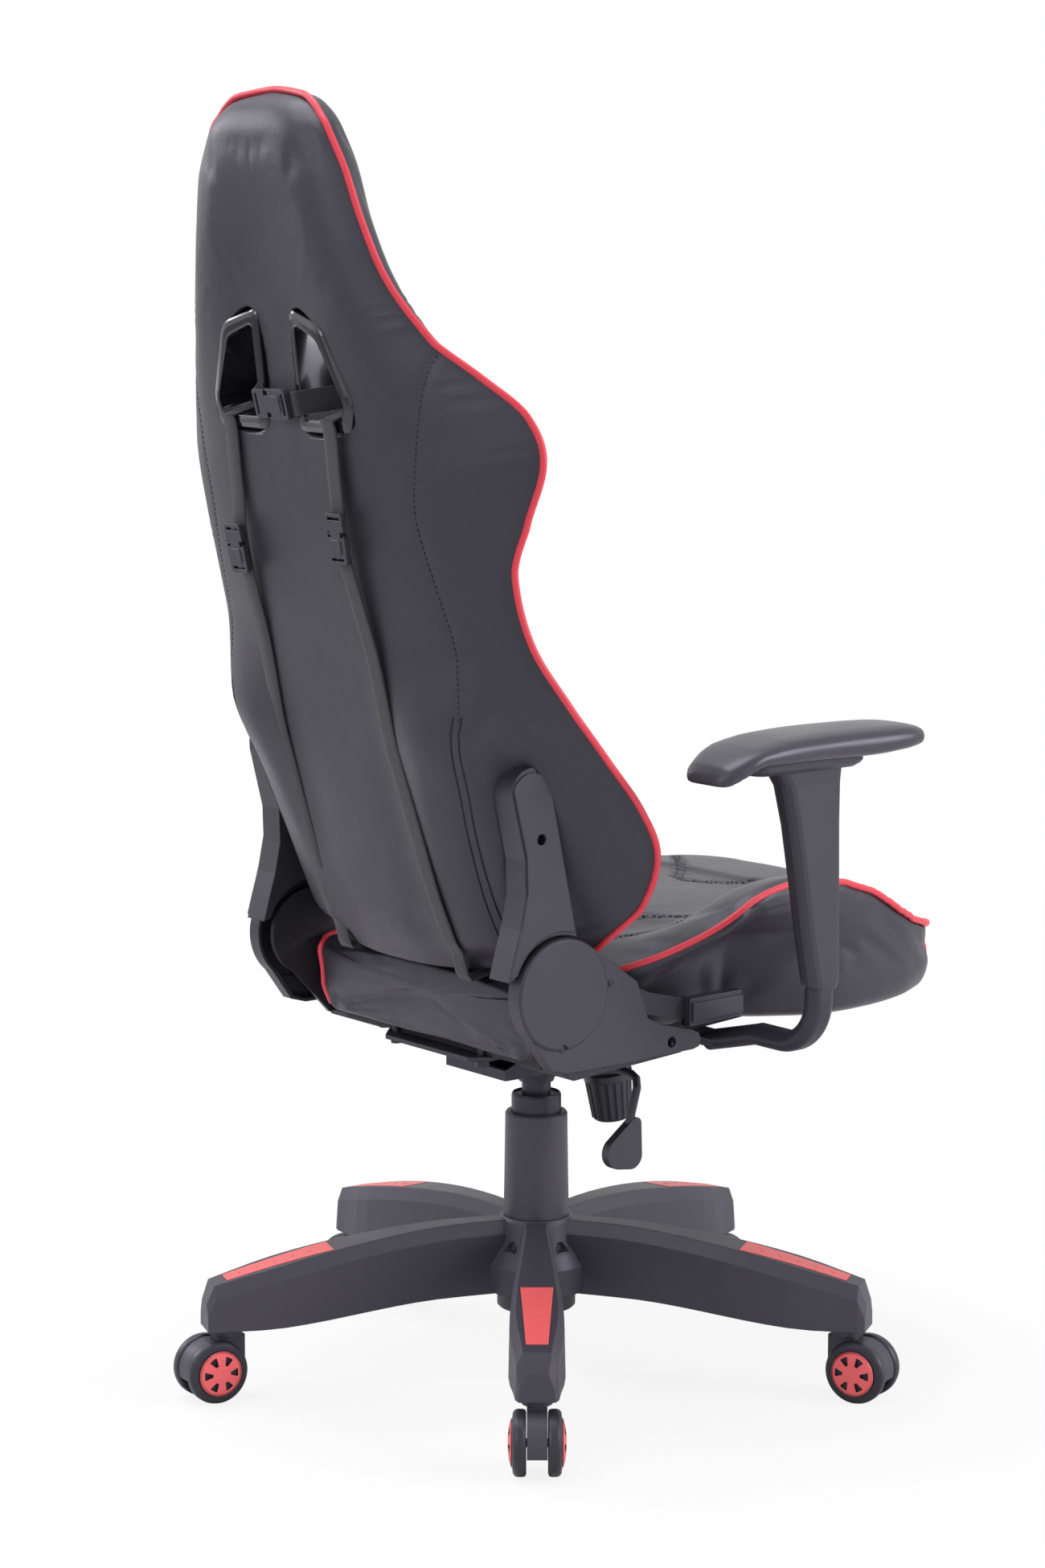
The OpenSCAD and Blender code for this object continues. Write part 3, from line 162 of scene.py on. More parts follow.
def curve(a, b, c, d, t):
    """Point between b and c on the smooth curve through a, b, c and d."""
    return 0.5 * (
        2 * b + (c - a) * t + (2 * a - 5 * b + 4 * c - d) * t * t + (3 * b - a - 3 * c + d) * t ** 3
    )


def smooth_path(points, step, closed=False):
    """Catmull-Rom curve through points, resampled to about step metres."""
    p = np.asarray(points, float)
    n = len(p)
    fine = []
    spans = n if closed else n - 1
    for i in range(spans):
        near = [(i + k) % n if closed else min(max(i + k, 0), n - 1) for k in (-1, 0, 1, 2)]
        fine += [curve(*p[near], t) for t in np.linspace(0, 1, 12, endpoint=False)]
    fine.append(p[0] if closed else p[-1])
    fine = np.array(fine)
    length = np.concatenate([[0], np.cumsum(np.linalg.norm(np.diff(fine, axis=0), axis=1))])
    count = max(2, int(round(length[-1] / step)) + 1)
    at = np.linspace(0, length[-1], count)
    return np.stack([np.interp(at, length, fine[:, k]) for k in range(3)], axis=1)


def ring_faces(rings, sides):
    """Quads that join rings of points, one ring after another."""
    return [
        (i * sides + k, i * sides + j, (i + 1) * sides + j, (i + 1) * sides + k)
        for i in range(rings - 1)
        for k, j in ((k, (k + 1) % sides) for k in range(sides))
    ]


def end_faces(rings, sides):
    """The two faces that close the first and the last ring."""
    return [tuple(range(sides))[::-1], tuple((rings - 1) * sides + k for k in range(sides))]


def tube(name, path, radius, material, sides):
    """Round cord along a path, its ends capped."""
    path = np.asarray(path, float)
    n = len(path)
    tangent = np.gradient(path, axis=0)
    tangent /= np.linalg.norm(tangent, axis=1)[:, None]
    u = np.cross(tangent[0], [0.3, 0.5, 0.8])
    points = []
    for i in range(n):
        u = u - tangent[i] * np.dot(u, tangent[i])
        u /= np.linalg.norm(u)
        v = np.cross(tangent[i], u)
        for k in range(sides):
            a = 2 * math.pi * k / sides
            points.append(path[i] + radius * (math.cos(a) * u + math.sin(a) * v))
    return mesh_object(name, points, ring_faces(n, sides) + end_faces(n, sides), material)


def surface_tree(obj):
    mesh = obj.data
    return BVHTree.FromPolygons(
        [tuple(v) for v in coords(mesh)], [tuple(p.vertices) for p in mesh.polygons]
    )


def snapped(tree, points, lift=0.0):
    """Points moved onto the nearest surface, lifted along its normal, with the normals."""
    out, nor = [], []
    for p in points:
        hit, normal, _, _ = tree.find_nearest(Vector(p))
        out.append(np.array(hit + normal * lift))
        nor.append(np.array(normal))
    return np.array(out), np.array(nor)


def carve(obj, paths, depth, width):
    """Pulls a narrow channel into the surface along each path."""
    samples = np.concatenate([smooth_path(p, 0.002) for p in paths])
    tree = KDTree(len(samples))
    for i, p in enumerate(samples):
        tree.insert(p, i)
    tree.balance()
    points = coords(obj.data)
    nor = normals(obj.data)
    reach = 3.2 * width
    for i, p in enumerate(points):
        distance = tree.find(p)[2]
        if distance < reach:
            points[i] = p - nor[i] * depth * math.exp(-((distance / width) ** 2))
    set_coords(obj.data, points)


def relax(obj, factor, repeat):
    mod = obj.modifiers.new("Smooth", "SMOOTH")
    mod.factor = factor
    mod.iterations = repeat
    return baked(obj)


def soft_form(node, name, voxel, shrink=0.0):
    """Even quad skin over a CAD node, drawn in by shrink."""
    mesh = frame["nodes"][node].data.copy()
    obj = new_object(name, mesh)
    merged(mesh)
    mod = obj.modifiers.new("Remesh", "REMESH")
    mod.mode = "VOXEL"
    mod.voxel_size = voxel
    mod.use_smooth_shade = True
    baked(obj)
    if shrink:
        set_coords(obj.data, coords(obj.data) - normals(obj.data) * shrink)
    return obj


def swell(obj, pressure, cap, pins=None, frames=20):
    """Inflates a closed skin as cloth, no point moving further than cap."""
    start = coords(obj.data)
    if pins is not None:
        group = obj.vertex_groups.new(name="held")
        group.add([int(i) for i in np.nonzero(pins)[0]], 1.0, "REPLACE")
    mod = obj.modifiers.new("Cloth", "CLOTH")
    cloth = mod.settings
    cloth.quality = 4
    cloth.mass = 0.3
    cloth.tension_stiffness = 12
    cloth.compression_stiffness = 12
    cloth.shear_stiffness = 6
    cloth.bending_stiffness = 0.6
    cloth.use_pressure = True
    cloth.uniform_pressure_force = pressure
    cloth.effector_weights.gravity = 0
    if pins is not None:
        cloth.vertex_group_mass = "held"
    mod.collision_settings.use_collision = False
    mod.point_cache.frame_start = 1
    mod.point_cache.frame_end = frames
    scene = bpy.context.scene
    scene.frame_start, scene.frame_end = 1, frames
    for f in range(1, frames + 1):
        scene.frame_set(f)
    baked(obj)
    scene.frame_set(1)
    obj.vertex_groups.clear()
    moved = coords(obj.data) - start
    length = np.linalg.norm(moved, axis=1)
    share = np.minimum(1.0, cap / np.maximum(length, 1e-9))
    set_coords(obj.data, start + moved * share[:, None])
    return obj


def subdivided(obj):
    mod = obj.modifiers.new("Subdivision", "SUBSURF")
    mod.levels = mod.render_levels = 1
    baked(obj)
    obj.data.shade_smooth()
    return obj


# ---------------------------------------------------------------- materials

# The studio's cool light, as every finish mirrors it
COOL_TINT = (0.88, 0.865, 1.0, 1.0)


def node_material(name, color, roughness, **sockets):
    mat = bpy.data.materials.new(name)
    mat.use_nodes = True
    shader = mat.node_tree.nodes["Principled BSDF"]
    shader.inputs["Base Color"].default_value = (*color, 1.0)
    shader.inputs["Roughness"].default_value = roughness
    shader.inputs["Specular Tint"].default_value = COOL_TINT
    for key, value in sockets.items():
        shader.inputs[key.replace("_", " ")].default_value = value
    return mat, mat.node_tree, shader


def added(tree, kind, **values):
    """New node; each value goes to the property or the input of that name."""
    node = tree.nodes.new(kind)
    for key, value in values.items():
        if hasattr(node, key):
            setattr(node, key, value)
        else:
            node.inputs[key.replace("_", " ")].default_value = value
    return node


def rounded_edges(tree, shader, radius):
    """Shades sharp edges as if they were rounded."""
    node = added(tree, "ShaderNodeBevel", samples=4, Radius=radius)
    tree.links.new(node.outputs["Normal"], shader.inputs["Normal"])


def bump(tree, shader, height, distance, strength):
    """Adds a bump in front of whatever bump the shader already has."""
    node = added(tree, "ShaderNodeBump", Distance=distance, Strength=strength)
    tree.links.new(height, node.inputs["Height"])
    if shader.inputs["Normal"].is_linked:
        tree.links.new(shader.inputs["Normal"].links[0].from_socket, node.inputs["Normal"])
    tree.links.new(node.outputs["Normal"], shader.inputs["Normal"])


def uneven(tree, shader, source, low, high):
    """Lets a 0 to 1 source drive the roughness between low and high."""
    span = added(tree, "ShaderNodeMapRange", To_Min=low, To_Max=high)
    tree.links.new(source, span.inputs["Value"])
    tree.links.new(span.outputs["Result"], shader.inputs["Roughness"])


def textured(tree, kind, scale, **extra):
    """A texture on object coordinates."""
    where = tree.nodes.new("ShaderNodeTexCoord")
    tex = added(tree, kind, Scale=scale, **extra)
    tree.links.new(where.outputs["Object"], tex.inputs["Vector"])
    return tex


def noise(tree, scale, detail):
    return textured(tree, "ShaderNodeTexNoise", scale, Detail=detail).outputs["Fac"]


def leather(name, color, roughness, folds):
    """Coated fabric: fine grain, small and broad folds, uneven sheen."""
    mat, tree, shader = node_material(name, color, roughness, Specular_IOR_Level=0.5)
    grain = textured(tree, "ShaderNodeTexVoronoi", 620.0, feature="DISTANCE_TO_EDGE")
    ramp = added(tree, "ShaderNodeMapRange", From_Max=0.22)
    tree.links.new(grain.outputs["Distance"], ramp.inputs["Value"])
    broad = noise(tree, 14.0, 3.0)
    soft = noise(tree, 55.0, 4.0)
    uneven(tree, shader, broad, roughness - 0.06, roughness + 0.09)
    bump(tree, shader, ramp.outputs["Result"], 0.00012, 0.55)
    bump(tree, shader, soft, 0.0008 * folds, 0.35)
    bump(tree, shader, broad, 0.004 * folds, 0.35)
    return mat


def moulded(name, color, roughness, grain):
    """Grained plastic."""
    mat, tree, shader = node_material(name, color, roughness, Specular_IOR_Level=0.5)
    rounded_edges(tree, shader, 0.0014)
    uneven(tree, shader, noise(tree, 22.0, 4.0), roughness - 0.05, roughness + 0.07)
    bump(tree, shader, noise(tree, 1500.0, 2.0), 0.00012, grain)
    return mat


def glossy(name, color):
    mat, tree, shader = node_material(name, color, 0.12, Coat_Weight=0.6, Coat_Roughness=0.05)
    rounded_edges(tree, shader, 0.0012)
    uneven(tree, shader, noise(tree, 30.0, 2.0), 0.1, 0.2)
    return mat


def coated_metal(name, color, roughness=0.42):
    mat, tree, shader = node_material(name, color, roughness, Metallic=0.25)
    rounded_edges(tree, shader, 0.0008)
    bump(tree, shader, noise(tree, 900.0, 3.0), 0.00015, 0.4)
    uneven(tree, shader, noise(tree, 18.0, 3.0), roughness - 0.05, roughness + 0.08)
    return mat


def bare_metal(name, color):
    mat, tree, shader = node_material(name, color, 0.3, Metallic=1.0)
    uneven(tree, shader, noise(tree, 260.0, 5.0), 0.22, 0.42)
    return mat


def woven(name, color):
    """Webbing or lining: threads both ways."""
    mat, tree, shader = node_material(name, color, 0.8, Specular_IOR_Level=0.25)
    shader.inputs["Sheen Weight"].default_value = 0.3
    across = textured(tree, "ShaderNodeTexWave", 420.0, bands_direction="Z", Distortion=0.6)
    along = textured(tree, "ShaderNodeTexWave", 420.0, bands_direction="X", Distortion=0.6)
    mix = added(tree, "ShaderNodeMath", operation="MAXIMUM")
    tree.links.new(across.outputs["Fac"], mix.inputs[0])
    tree.links.new(along.outputs["Fac"], mix.inputs[1])
    bump(tree, shader, mix.outputs["Value"], 0.0003, 0.8)
    return mat


MATS = {}
SHAPES = {}


def build_materials(props):
    black = tuple(props.leather_color)
    red = tuple(props.accent_color)
    MATS.update(
        leather_black=leather("leather_black", black, props.leather_roughness, 1.0),
        leather_seat=leather("leather_seat", black, props.leather_roughness - 0.02, 1.2),
        piping=leather("piping_red", red, 0.42, 0.2),
        red=moulded("plastic_red", (0.93, 0.14, 0.14), 0.4, 0.3),
        base=moulded("plastic_base", (0.043, 0.040, 0.052), 0.46, 0.6),
        cover=moulded("plastic_cover", (0.027, 0.026, 0.032), 0.42, 0.45),
        wheel=moulded("plastic_wheel", (0.018, 0.0175, 0.022), 0.38, 0.3),
        gloss=glossy("plastic_gloss", (0.010, 0.010, 0.012)),
        pad=moulded("pad_skin", (0.034, 0.032, 0.041), 0.34, 0.6),
        metal=coated_metal("coated_metal", (0.028, 0.027, 0.034)),
        steel=bare_metal("zinc_steel", (0.62, 0.62, 0.64)),
        webbing=woven("webbing", (0.020, 0.020, 0.023)),
        thread=moulded("thread", (0.016, 0.016, 0.018), 0.6, 0.2),
        board=woven("lining", (0.012, 0.012, 0.014)),
        # Near-black cord colour: painted shade in the gaps at the placket's folded edges
        dark=moulded("painted_gap_shade", (0.006, 0.006, 0.007), 0.7, 0.2),
    )


# Look of each slot of the CAD frame, and the small steel nodes that are blackened
SLOT_LOOK = {
    "base_plastic": "base", "cover_plastic": "cover", "wheel_plastic": "wheel",
    "gloss_black": "gloss", "red_plastic": "red", "black_metal": "metal", "steel": "steel",
    "board": "board", "leather_black": "leather_black", "pad_pu": "pad", "webbing": "webbing",
}
DARK_NODES = ("seat_bolts", "tilt_latch", "tilt_axle")


# ---------------------------------------------------------------- repeated parts

STITCH_LIFT = 0.2 * MM


def repeat_tree(name, shape, material):
    """Node group that puts a shape on every point, turned by the point's 'turn'."""
    tree = bpy.data.node_groups.new(name, "GeometryNodeTree")
    tree.interface.new_socket("Geometry", in_out="INPUT", socket_type="NodeSocketGeometry")
    tree.interface.new_socket("Geometry", in_out="OUTPUT", socket_type="NodeSocketGeometry")
    inside = tree.nodes.new("NodeGroupInput")
    outside = tree.nodes.new("NodeGroupOutput")
    info = added(tree, "GeometryNodeObjectInfo", Object=shape)
    turn = added(tree, "GeometryNodeInputNamedAttribute", data_type="FLOAT_VECTOR")
    turn.inputs["Name"].default_value = "turn"
    euler = tree.nodes.new("FunctionNodeEulerToRotation")
    place = tree.nodes.new("GeometryNodeInstanceOnPoints")
    real = tree.nodes.new("GeometryNodeRealizeInstances")
    paint = added(tree, "GeometryNodeSetMaterial", Material=material)
    for source, out, target, into in (
        (inside, "Geometry", place, "Points"), (info, "Geometry", place, "Instance"),
        (turn, "Attribute", euler, "Euler"), (euler, "Rotation", place, "Rotation"),
        (place, "Instances", real, "Geometry"), (real, "Geometry", paint, "Geometry"),
        (paint, "Geometry", outside, "Geometry"),
    ):
        tree.links.new(source.outputs[out], target.inputs[into])
    return tree


def repeated(name, shape, points, along, up, material):
    """Plain mesh of a shape repeated at points, its X along one vector and Z along another."""
    mesh = bpy.data.meshes.new(name)
    mesh.from_pydata([tuple(p) for p in points], [], [])
    turn = mesh.attributes.new("turn", "FLOAT_VECTOR", "POINT")
    values = []
    for a, u in zip(along, up):
        x = Vector(a).normalized()
        z = Vector(u)
        z = (z - x * z.dot(x)).normalized()
        y = z.cross(x)
        values += list(Matrix((x, y, z)).transposed().to_euler())
    turn.data.foreach_set("vector", values)
    obj = new_object(name, mesh)
    mod = obj.modifiers.new("Repeat", "NODES")
    mod.node_group = repeat_tree(name + "_nodes", shape, material)
    baked(obj)
    obj.data.shade_smooth()
    obj.data.materials.clear()
    obj.data.materials.append(material)
    return obj


def hidden_shape(name, points, faces):
    obj = mesh_object(name, points, faces, MATS["thread"])
    obj.hide_render = True
    obj.hide_viewport = True
    return obj


def stitch_shape(length=3.4 * MM, radius=0.45 * MM):
    """Short thread along X, its ends dipping into the cover."""
    rings = [(-0.5, 0.3, -0.4), (-0.32, 0.9, 0.1), (0.0, 1.0, 0.35), (0.32, 0.9, 0.1),
             (0.5, 0.3, -0.4)]
    points, sides = [], 6
    for x, r, z in rings:
        for k in range(sides):
            a = 2 * math.pi * k / sides
            points.append((x * length, radius * r * math.cos(a), radius * (z + r * math.sin(a))))
    faces = ring_faces(len(rings), sides) + end_faces(len(rings), sides)
    return hidden_shape("stitch_shape", points, faces)


def screw_shape(radius=3.4 * MM, height=1.6 * MM):
    """Pan head with a cross recess, its face up Z."""
    rings = [(1.0, 0.0), (1.0, 0.35), (0.9, 0.7), (0.62, 0.95), (0.34, 1.0), (0.2, 0.45),
             (0.0, 0.4)]
    sides, points = 16, []
    for r, z in rings[:-1]:
        for k in range(sides):
            a = 2 * math.pi * k / sides
            q = r * (0.55 + 0.45 * abs(math.cos(2 * a))) if r < 0.36 else r
            points.append((radius * q * math.cos(a), radius * q * math.sin(a), height * z))
    points.append((0, 0, height * rings[-1][1]))
    last = (len(rings) - 2) * sides
    faces = ring_faces(len(rings) - 1, sides)
    faces += [(last + k, last + (k + 1) % sides, last + sides) for k in range(sides)]
    return hidden_shape("screw_shape", points, faces)


def headings(path):
    """Unit directions along a path."""
    along = np.gradient(path, axis=0)
    return along / np.linalg.norm(along, axis=1)[:, None]


def stitched(name, tree, path, offset, pitch):
    """A row of stitches beside a path, lying on a surface."""
    line = smooth_path(path, pitch)
    along = headings(line)
    on, up = snapped(tree, line)
    on, up = snapped(tree, on + np.cross(up, along) * offset, STITCH_LIFT)
    return repeated(name, SHAPES["stitch"], on, along, up, MATS["thread"])


# ---------------------------------------------------------------- forms of the soft parts

# Stations up the back, mm in its leaning frame: height, half width, depth of the piping,
# depth of the rear's middle, roll in front of the piping, depth of the front's middle,
# how square the rear's curve is, how deep the rear is dished in the middle
BACK_ROWS = [
    (8, 180, -60, 25, 5, -58, 2.6, 0), (45, 214, -100, 34, 8, -60, 2.6, 0),
    (95, 239, -111, 36, 8, -58, 2.6, 0), (145, 249, -96, 37, 8, -56, 2.6, 0),
    (200, 246, -72, 37, 10, -52, 2.9, 0), (254, 246, -45, 37, 12, -46, 3.4, 0),
    (320, 229, -27, 37, 12, -41, 4, 0), (386, 226, -25.5, 37, 12, -38, 4, 0),
    (425, 241, -36, 36, 12, -38, 3.5, 0), (482, 261, -53, 34, 10, -40, 3, 2),
    (522, 248, -54, 30, 9, -24, 3.1, 5), (557, 215, -40, 25, 10, -18, 3.8, 6.5),
    (592, 179, -23, 21, 14, -20, 5, 7), (646, 146, -13, 18, 20, -32, 6.5, 8),
    (697, 126, -13, 14, 23, -48, 6.5, 6), (746, 109, -18, 8, 25, -57, 6.5, 3),
    (785, 86, -24, 0, 24, -58, 6, 0), (800, 68, -29, -10, 18, -55, 5, 0),
    (808, 54, -32, -19, 13, -51, 4, 0), (813, 38, -35, -27, 8, -47, 3, 0),
    (816, 14, -38, -33, 3, -43, 2.5, 0),
]
DISH = 95

# Stations of the seat from rear to front, mm in its raked frame: place, half width at the
# ridge and at the bottom, height of the ridge, of the middle panel and of the bottom's sides
SEAT_ROWS = [
    (-130, 168, 164, 74, 80, 14), (-118, 175, 172, 80, 85, 12.5), (-54, 176, 175, 83, 90, 12.5),
    (-38, 188, 176, 88, 92, 12.5), (-8, 213, 177, 100, 98, 13), (27, 244, 177, 122, 99, 14),
    (78, 249, 177, 143, 99, 12), (120, 250, 203, 147, 98, 8), (168, 250, 232, 141, 96, 5),
    (225, 245, 236, 119, 92, 2), (272, 236, 230, 89, 88, 1), (310, 220, 214, 71, 84, 1),
    (334, 200, 195, 63, 79, 2), (350, 172, 167, 59, 73, 6), (362, 136, 130, 56, 67, 14),
    (371, 92, 84, 53, 62, 26), (375, 52, 46, 50, 54, 40),
]
BOARD_TOP = 10.3
BOARD_FRONT = 262
# The seat's domed ends: share of the last section, and how far it stands out
SEAT_ENDS = ((0.985, 2.0), (0.95, 3.2), (0.85, 4.0), (0.7, 4.6), (0.5, 5.0), (0.3, 5.2),
             (0.12, 5.2))

# Stations down a pillow strap: height, place across, how far it stands off the cover
STRAP_ROWS = [
    (20, 93, 1.2), (120, 91, 1.2), (230, 88.5, 2), (316, 86, 5), (386, 83, 8), (430, 80, 9),
    (460, 79, 6), (515, 79, 4.6),
]


WEB_THICK = 0.0018
STRAP_WIDTH = 0.020
NECK_WIDTH = 0.022


def row_at(table, s):
    """Smooth curve through a table of stations."""
    i = 0
    while i < len(table) - 2 and s > table[i + 1][0]:
        i += 1
    last = len(table) - 1
    a, b, c, d = (np.array(table[min(max(i + k, 0), last)][1:], float) for k in (-1, 0, 1, 2))
    t = (s - table[i][0]) / (table[i + 1][0] - table[i][0])
    return curve(a, b, c, d, t)


def back_row(z):
    return row_at(BACK_ROWS, min(max(z, 8), 816))


def seat_row(place):
    return row_at(SEAT_ROWS, min(max(place, -130), 375))


def ease(a, b, t):
    t = np.clip(t, 0, 1)
    return a + (b - a) * (3 - 2 * t) * t * t


def rear_y(r, x):
    dish = r[6] * np.maximum(0, 1 - (x / DISH) ** 2) ** 2
    return r[2] - (r[2] - r[1]) * np.minimum(1, np.abs(x) / r[0]) ** r[5] - dish


def fullness(z, x):
    """How far the padding fills out the lower back between its brackets."""
    outer = 184 + 30 * ease(0, 1, (z - 190) / 120)
    height = ease(0, 1, (z - 8) / 34) * (1 - ease(0, 1, (z - 225) / 115))
    return 25 * height * ease(0, 1, (x - 55) / 95) * (1 - ease(0, 1, (x - outer + 18) / 18))


def front_y(r, x):
    u = np.minimum(1, np.abs(x) / r[0])
    roll = r[1] - r[3] * np.sqrt(np.maximum(0, 1 - ((u - 0.8) / 0.2) ** 2))
    return np.where(u > 0.8, roll, ease(r[4], r[1] - r[3], (u - 0.52) / 0.28))


def crown(z):
    """Rounds off the top of the back, so that its cord runs over it in one curve."""
    return z if z < 796 else 796 + 16 * math.tanh((z - 796) / 16)


def back_skin(name, columns=92, rows=116):
    """Closed skin of the back from its stations, with rounded ends."""
    points = []
    u = np.sin(np.linspace(-90, 90, columns + 1) * math.pi / 180)
    rings = []
    for z in np.linspace(8, 816, rows):
        r = row_at(BACK_ROWS, z)
        x = u * r[0]
        level = np.full_like(x, crown(z))
        rear = np.stack([x, rear_y(r, x) + fullness(z, np.abs(x)), level], 1)
        front = np.stack([x, front_y(r, x), level], 1)
        rings.append(np.concatenate([rear, front[-2:0:-1]]))
    count = 2 * columns
    for ring in rings:
        points += list(ring)
    faces = ring_faces(rows, count)
    for j, bulge in ((0, -4.0), (rows - 1, 2.0)):
        ring = rings[j]
        across = [[j * count + i] for i in range(columns + 1)]
        for i in range(1, columns):
            rear, front = ring[i], ring[count - i]
            for k in (1, 2, 3):
                t = k / 4
                p = rear * (1 - t) + front * t
                p[2] += bulge * math.sin(math.pi * t)
                across[i].append(len(points))
                points.append(p)
            across[i].append(j * count + count - i)
        across[0] = across[0] * 5
        across[columns] = across[columns] * 5
        for i in range(columns):
            for k in range(4):
                face = tuple(dict.fromkeys(
                    (across[i][k], across[i + 1][k], across[i + 1][k + 1], across[i][k + 1])))
                faces.append(face if j else face[::-1])
    m = np.array(ON_BACK)
    world = np.array(points) @ m[:3, :3].T + m[:3, 3]
    return closed(mesh_object(name, world, faces, MATS["leather_black"]))


def closed(obj):
    """Turns a closed mesh's faces outwards."""
    bm = bmesh.new()
    bm.from_mesh(obj.data)
    bmesh.ops.recalc_face_normals(bm, faces=bm.faces)
    if bm.calc_volume(signed=True) < 0:
        bmesh.ops.reverse_faces(bm, faces=bm.faces)
    bm.to_mesh(obj.data)
    bm.free()
    obj.data.update()
    return obj


def seat_half(r):
    """Half of a section of the seat, from its bottom edge to the middle of its top."""
    w, v, ridge, m, z = r
    g = ridge - z
    return [
        (max(min(150.5, v - 18) + 4, v - 24), z - 1), (v - 7, z + 5), (v, z + 18),
        (v + 0.1 * (w - v), z + 0.42 * g), (v + 0.24 * (w - v), z + 0.62 * g),
        (v + 0.72 * (w - v), z + 0.8 * g), (w - 1, z + 0.91 * g), (w - 3, ridge - 3),
        (w - 10, ridge - 0.5), (w * 0.91, ridge - 1), (w * 0.78, m + (ridge - m) * 0.8),
        (w * 0.66, m + (ridge - m) * 0.32), (w * 0.5, m + 0.5), (w * 0.25, m + 2.5),
    ]


FINE = 4


def seat_ring(place):
    """Section of the seat: a smooth curve over the top, a step round the board below."""
    r = row_at(SEAT_ROWS, place)
    half = seat_half(r)
    p = np.array(half + [(-x, z) for x, z in half[::-1]])
    n = len(p)
    out = []
    for i in range(n - 1):
        near = [min(max(i + k, 0), n - 1) for k in (-1, 0, 1, 2)]
        out += [curve(*p[near], t) for t in np.arange(FINE) / FINE]
    out.append(p[-1])
    roof = BOARD_TOP if place < BOARD_FRONT + 16 else r[4] - 1
    c = min(150.5, r[1] - 18)
    low = min(r[4] - 1, roof)
    out += [(-c - 1, low)] + [(c * k, roof) for k in (-1, -0.6, -0.2, 0.2, 0.6, 1)] + [(c + 1, low)]
    out = np.array(out)
    out[:, 1] = np.maximum(out[:, 1], low)
    return np.stack([out[:, 0], np.full(len(out), -place), out[:, 1]], 1)


def seat_skin(name, rows=86):
    """Closed skin of the seat from its stations, its two ends slightly domed."""
    places = np.linspace(-130, 375, rows)
    rings = [seat_ring(s) for s in places]
    first, last = (ring.mean(0) for ring in (rings[0], rings[-1]))
    rear = [first + (rings[0] - first) * k + np.array([0, out, 0]) for k, out in SEAT_ENDS]
    front = [last + (rings[-1] - last) * k - np.array([0, out * 0.35, 0])
             for k, out in SEAT_ENDS[1:]]
    rings = rear[::-1] + rings + front
    count = len(rings[0])
    points = [p for ring in rings for p in ring]
    faces = ring_faces(len(rings), count)
    faces += [tuple(range(count)), end_faces(len(rings), count)[1]]
    m = np.array(ON_SEAT)
    world = np.array(points) @ m[:3, :3].T + m[:3, 3]
    return closed(mesh_object(name, world, faces, MATS["leather_seat"]))


def cast(tree, frame_matrix, points, direction):
    """Points of a local frame dropped along a local direction onto a skin."""
    way = (frame_matrix.to_3x3() @ Vector(direction)).normalized()
    hits = []
    for p in points:
        start = frame_matrix @ Vector(p) - way * 0.4
        hit = tree.ray_cast(start, way)[0] or tree.find_nearest(frame_matrix @ Vector(p))[0]
        hits.append(np.array(hit))
    return np.array(hits)


def band(name, path, across, width, rise):
    """Flat strap along a path on a surface: rounded edges, standing rise above the path."""
    path = np.asarray(path, float)
    heading = headings(path)
    side = np.tile(across, (len(path), 1))
    side = side - heading * np.sum(side * heading, axis=1)[:, None]
    side /= np.linalg.norm(side, axis=1)[:, None]
    up = np.cross(heading, side)
    h, w = WEB_THICK / 2, width / 2
    section = [(-w, -0.5 * h), (-w, 0.5 * h), (-w + h, h), (-w * 0.5, h * 1.05), (0, h * 1.1),
               (w * 0.5, h * 1.05), (w - h, h), (w, 0.5 * h), (w, -0.5 * h), (w - h, -h),
               (-w + h, -h)]
    points = []
    for p, s, v in zip(path, side, up):
        points += [p + s * a + v * (b + rise + h) for a, b in section]
    faces = ring_faces(len(path), len(section)) + end_faces(len(path), len(section))
    return closed(mesh_object(name, points, faces, MATS["webbing"]))


def finished(obj, body, slot_name, *nodes):
    """Puts a finished piece on the body it rides on and hides the nodes it stands for; slot_name is
    not used.
    """
    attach(obj, body)
    if nodes:
        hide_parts(*nodes)
    return obj


# ---------------------------------------------------------------- settings

class ChairSettings(bpy.types.PropertyGroup):
    leather_color: bpy.props.FloatVectorProperty(
        name="Leather", description="Colour of the black coated fabric", subtype="COLOR",
        size=3, default=(0.0245, 0.0230, 0.030), min=0, max=1)
    accent_color: bpy.props.FloatVectorProperty(
        name="Accent", description="Colour of the piping", subtype="COLOR",
        size=3, default=(0.72, 0.045, 0.065), min=0, max=1)
    leather_roughness: bpy.props.FloatProperty(
        name="Roughness", description="Roughness of the coated fabric", subtype="FACTOR",
        default=0.40, min=0, max=1)
    piping_radius: bpy.props.FloatProperty(
        name="Piping radius", description="Radius of the sewn cord", unit="LENGTH",
        subtype="DISTANCE", default=0.0031, min=0.001, max=0.006)
    seat_swell: bpy.props.FloatProperty(
        name="Seat swell", description="Most that the seat's top may swell", unit="LENGTH",
        subtype="DISTANCE", default=0.008, min=0, max=0.02)
    stitch_pitch: bpy.props.FloatProperty(
        name="Stitch pitch", description="Distance between stitches", unit="LENGTH",
        subtype="DISTANCE", default=0.0052, min=0.002, max=0.02)


def settings():
    return bpy.context.scene.chair


# ---------------------------------------------------------------- operators

SKINS = {}


class ChairFinishes(bpy.types.Operator):
    """Gives every rigid piece its material"""

    bl_idname = "chair.finishes"
    bl_label = "Finishes"

    def execute(self, context):
        build_materials(settings())
        for name, obj in frame["nodes"].items():
            for place in obj.material_slots:
                key = place.material.name.split(".")[0]
                if key in SLOT_LOOK:
                    look = "metal" if name in DARK_NODES else SLOT_LOOK[key]
                    place.material = MATS[look]
        return {"FINISHED"}


